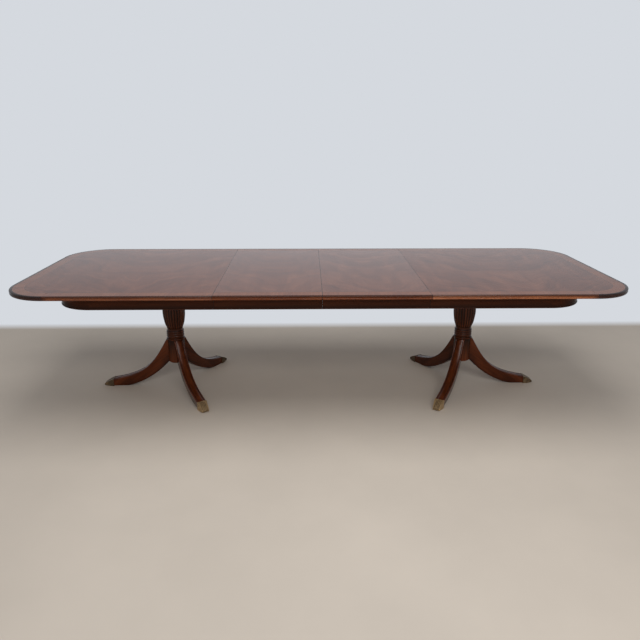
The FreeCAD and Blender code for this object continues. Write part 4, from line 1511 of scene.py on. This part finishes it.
@dataclass
class Underworks:
    """Slides, battens, pins and locks under the top, and the screws that hold them.

    A foot is the height of the face that screws sit on. A screw's size is its head's radius and how far it stands out.
    """

    finishes: Finishes
    screws: Screws
    lock_y: float = 0.41776
    plate_middle: float = 0.026
    plate_reach: Point = (0.016, 0.0145)
    plate_foot: float = 0.7255
    leaf_lift: float = 0.0004
    plate_screw: Point = (0.0028, 0.00025)
    wood_screw: Point = (0.0045, 0.0003)
    slide_foot: float = 0.685
    slide_lanes: Point = (0.3093, 0.2473)
    slide_rows: tuple[float, ...] = (0.61, 0.78, 0.95, 1.12)
    tie_foot: float = 0.669
    tie_x: float = 0.26
    tie_reach: Point = (0.016, 0.2783)
    batten_foot: float = 0.7064
    batten_x: Point = (0.128, 0.428)
    batten_rows: tuple[float, ...] = (-0.205, -0.07, 0.07, 0.205)
    strap_screws: tuple[Point, ...] = ((0.0619, 0.1487), (0.0799, 0.1303))
    strap_way: Point = (-0.7144, -0.6998)

    @staticmethod
    def below(x: float, y: float, z: float) -> ScrewPlace:
        """A screw that faces down."""
        return (x, y, z), (0.0, 0.0, -1.0)

    def plate_screws(self, middles: Sequence[float], lift: float) -> list[ScrewPlace]:
        """Screws at the corners of lock plates, front and back.

        Args:
            middles: X of each plate's middle.
            lift: how far the plates lie above those of the halves.

        Returns:
            Place and facing of each screw.
        """
        across, deep = self.plate_reach
        return [self.below(middle + i * across, row * self.lock_y + j * deep, self.plate_foot + lift)
                for middle in middles for row in (-1, 1) for i in (-1, 1) for j in (-1, 1)]

    def strap_row(self, side: Side) -> list[ScrewPlace]:
        """Screws up through the three arms of a strap, into the legs.

        Args:
            side: the strap's side.

        Returns:
            Place and facing of each screw.
        """
        row = []
        for leg in SABRE_LEGS:
            turn = math.radians(leg.turn)
            way = Vector((-side.sign * math.cos(turn), math.sin(turn), 0.0))
            facing = way * self.strap_way[0] + Vector((0.0, 0.0, self.strap_way[1]))
            for out, up in self.strap_screws:
                row.append(((side.sign * POST_X + way.x * out, way.y * out, up), tuple(facing)))
        return row

    def fasten(self) -> None:
        """Set every screw, one piece for each body and metal."""
        for side in Side:
            sign = side.sign
            lane = self.slide_lanes[0 if side is Side.LEFT else 1]
            slides = [self.below(sign * x, row * lane, self.slide_foot) for x in self.slide_rows for row in (-1, 1)]
            battens = [self.below(sign * x, y, self.batten_foot) for x in self.batten_x for y in self.batten_rows]
            half, leaf = side.word + "_half", "leaf_" + side.word
            outer = sign * (LEAF_LENGTH + self.plate_middle)
            keepers = (sign * (LEAF_LENGTH - self.plate_middle), sign * self.plate_middle)
            self.row(half + "_plate_screws", self.plate_screws((outer,), 0.0), half, True)
            self.row(half + "_wood_screws", slides + self.strap_row(side), half, False)
            self.row(leaf + "_plate_screws", self.plate_screws(keepers, self.leaf_lift), leaf, True)
            self.row(leaf + "_wood_screws", battens, leaf, False)
        across, reach = self.tie_reach
        ties = [self.below(i * self.tie_x + k * across, j * reach, self.tie_foot)
                for i in (-1, 1) for j in (-1, 1) for k in (-1, 1)]
        self.row("tie_screws", ties, "middle_slide_frame", False)

    def row(self, name: str, places: list[ScrewPlace], body: str, brass: bool) -> None:
        """Set one row of screws and tie it to its body.

        Args:
            name: the piece's name.
            places: place and facing of each screw.
            body: the body that it rides on.
            brass: small brass screws instead of larger steel ones.
        """
        size = self.plate_screw if brass else self.wood_screw
        piece = self.screws.drive(name, places, *size, self.finishes.of(LOCK_BRASS if brass else STEEL))
        settle(piece, body, "lock_brass" if brass else "strap_steel")

    def build(self) -> None:
        """Dress every node under the top, and set the screws."""
        self.fasten()
        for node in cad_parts:
            if "lock" in node:
                self.finishes.dress(node, LOCK_BRASS)
            elif node.endswith("_slides"):
                self.finishes.dress(node, SLIDE)
            elif node.endswith("_pins"):
                self.finishes.dress(node, DOWEL)
            elif node.endswith("_battens") or node.endswith("_ties"):
                self.finishes.dress(node, SECONDARY)


@dataclass(frozen=True)
class SoftLamp:
    """An oblong soft lamp: where it hangs, the point that it faces, its width and height, and its watts."""

    name: str
    place: Place
    target: Place
    size: Point
    power: float

    def hang(self) -> None:
        """Hang the lamp and turn it to its target."""
        data = bpy.data.lights.new(self.name, "AREA")
        data.shape = "RECTANGLE"
        data.size, data.size_y = self.size
        data.energy = self.power
        lamp = linked(self.name, data)
        lamp.location = self.place
        lamp.rotation_euler = (Vector(self.target) - Vector(self.place)).to_track_quat("-Z", "Y").to_euler()


@dataclass
class Studio:
    """Floor, light and camera."""

    floor_colour: Colour = (0.6, 0.53, 0.45)
    floor_shade: float = 0.93
    floor_cloud: Pattern = Pattern((1.3, 1.3, 1.3), 5.0)
    floor_stops: Point = (0.35, 0.65)
    floor_roughness: float = 0.75
    floor_specular: float = 0.3
    floor_half: float = 14.0
    floor_fade: Point = (1.08, 1.22)
    background: Colour = (0.665, 0.694, 0.738)
    glow: tuple[Point, ...] = ((0.206, 1.0), (0.212, 0.86), (0.285, 0.6))
    end_fade: float = 0.2
    front_light: Colour = (0.2, 0.2, 0.21)
    back_light: Colour = (0.42, 0.43, 0.455)
    light_stops: Point = (0.15, 0.85)
    lamps: tuple[SoftLamp, ...] = (
        SoftLamp("ceiling_soft", (0.0, -0.6, 3.4), (0.0, 0.0, 0.0), (2.8, 2.8), 62.0),
        SoftLamp("front_soft", (0.5, -4.0, 2.9), (0.0, 0.0, 0.4), (3.4, 1.1), 75.0),
    )
    eye: Place = (-0.0743, -3.427, 1.5544)
    pitch: float = math.radians(18.257)
    yaw: float = math.radians(1.245)
    roll: float = math.radians(-0.11)
    focal_pixels: float = 584.04
    sensor: float = 36.0
    sight: float = 100.0

    def floor(self) -> None:
        """A plain pale floor that fades into the pale background behind the table."""
        half = self.floor_half
        mesh = bpy.data.meshes.new("floor")
        mesh.from_pydata([(-half, -half, 0), (half, -half, 0), (half, half, 0), (-half, half, 0)], [], [(0, 1, 2, 3)])
        sketch = ShaderSketch(bpy.data.materials.new("pale_floor"))
        place = sketch.grain(Coordinates.ALONG_X)
        shade = tuple(channel * self.floor_shade for channel in self.floor_colour)
        colour = sketch.ramp(sketch.noise(place, self.floor_cloud),
                             list(zip(self.floor_stops, (shade, self.floor_colour))))
        plain = sketch.add("ShaderNodeBsdfPrincipled", Base_Color=colour, Roughness=self.floor_roughness,
                           Specular_IOR_Level=self.floor_specular)
        pale = sketch.add("ShaderNodeEmission", Color=(*self.background, 1.0))
        depth = sketch.add("ShaderNodeSeparateXYZ", Vector=place).outputs["Y"]
        beyond = sketch.math("MULTIPLY", sketch.span(depth, *self.floor_fade), sketch.seen_straight())
        sketch.add("ShaderNodeOutputMaterial", None, {0: sketch.mixed(beyond, plain, pale)})
        mesh.materials.append(sketch.owner)
        linked("floor", mesh)

    def sky(self) -> None:
        """A pale room: more light from behind the table than from the front, and a plain background."""
        world = bpy.data.worlds.new("pale_room")
        bpy.context.scene.world = world
        sketch = ShaderSketch(world)
        way = sketch.add("ShaderNodeSeparateXYZ", Vector=sketch.add("ShaderNodeTexCoord").outputs["Generated"]).outputs
        tone = sketch.ramp(sketch.span(way["Y"], -1.0, 1.0),
                           list(zip(self.light_stops, (self.front_light, self.back_light))))
        light = sketch.add("ShaderNodeBackground", Color=tone)
        stops = [(place, tuple(channel * share for channel in self.background)) for place, share in self.glow]
        aside = sketch.math("MULTIPLY", sketch.math("POWER", way["X"], 2.0), self.end_fade)
        plain = sketch.add("ShaderNodeBackground", Color=sketch.ramp(sketch.math("ADD", way["Z"], aside), stops))
        sketch.add("ShaderNodeOutputWorld", None, {0: sketch.mixed(sketch.seen_straight(), light, plain)})

    def camera(self) -> None:
        """A camera at the fitted viewpoint."""
        data = bpy.data.cameras.new("camera")
        data.sensor_fit = "HORIZONTAL"
        data.sensor_width = self.sensor
        data.lens = self.focal_pixels / IMAGE_SIDE * self.sensor
        data.clip_end = self.sight
        forward = Vector((math.sin(self.yaw) * math.cos(self.pitch), math.cos(self.yaw) * math.cos(self.pitch),
                          -math.sin(self.pitch)))
        level = Vector((math.cos(self.yaw), -math.sin(self.yaw), 0.0))
        down = forward.cross(level)
        right = level * math.cos(self.roll) + down * math.sin(self.roll)
        up = level * math.sin(self.roll) - down * math.cos(self.roll)
        turn = Matrix((right, up, -forward)).transposed()
        camera = linked("camera", data)
        camera.matrix_world = Matrix.Translation(self.eye) @ turn.to_4x4()
        bpy.context.scene.camera = camera

    def build(self) -> None:
        """Set up the studio."""
        self.floor()
        self.sky()
        for lamp in self.lamps:
            lamp.hang()
        self.camera()
        bpy.context.scene.view_settings.view_transform = "Standard"


def main() -> None:
    """Build and dress the whole table in order."""
    logging.basicConfig(level=logging.INFO, format="%(name)s: %(message)s")
    finishes = Finishes()
    mouldings = Mouldings()
    Tops(finishes, mouldings).build()
    Aprons(finishes, mouldings).build()
    turning = TurnedWork()
    for side in Side:
        Pedestal(finishes, turning, side).build()
    Underworks(finishes, Screws()).build()
    Studio().build()


if __name__ == "__main__":
    main()
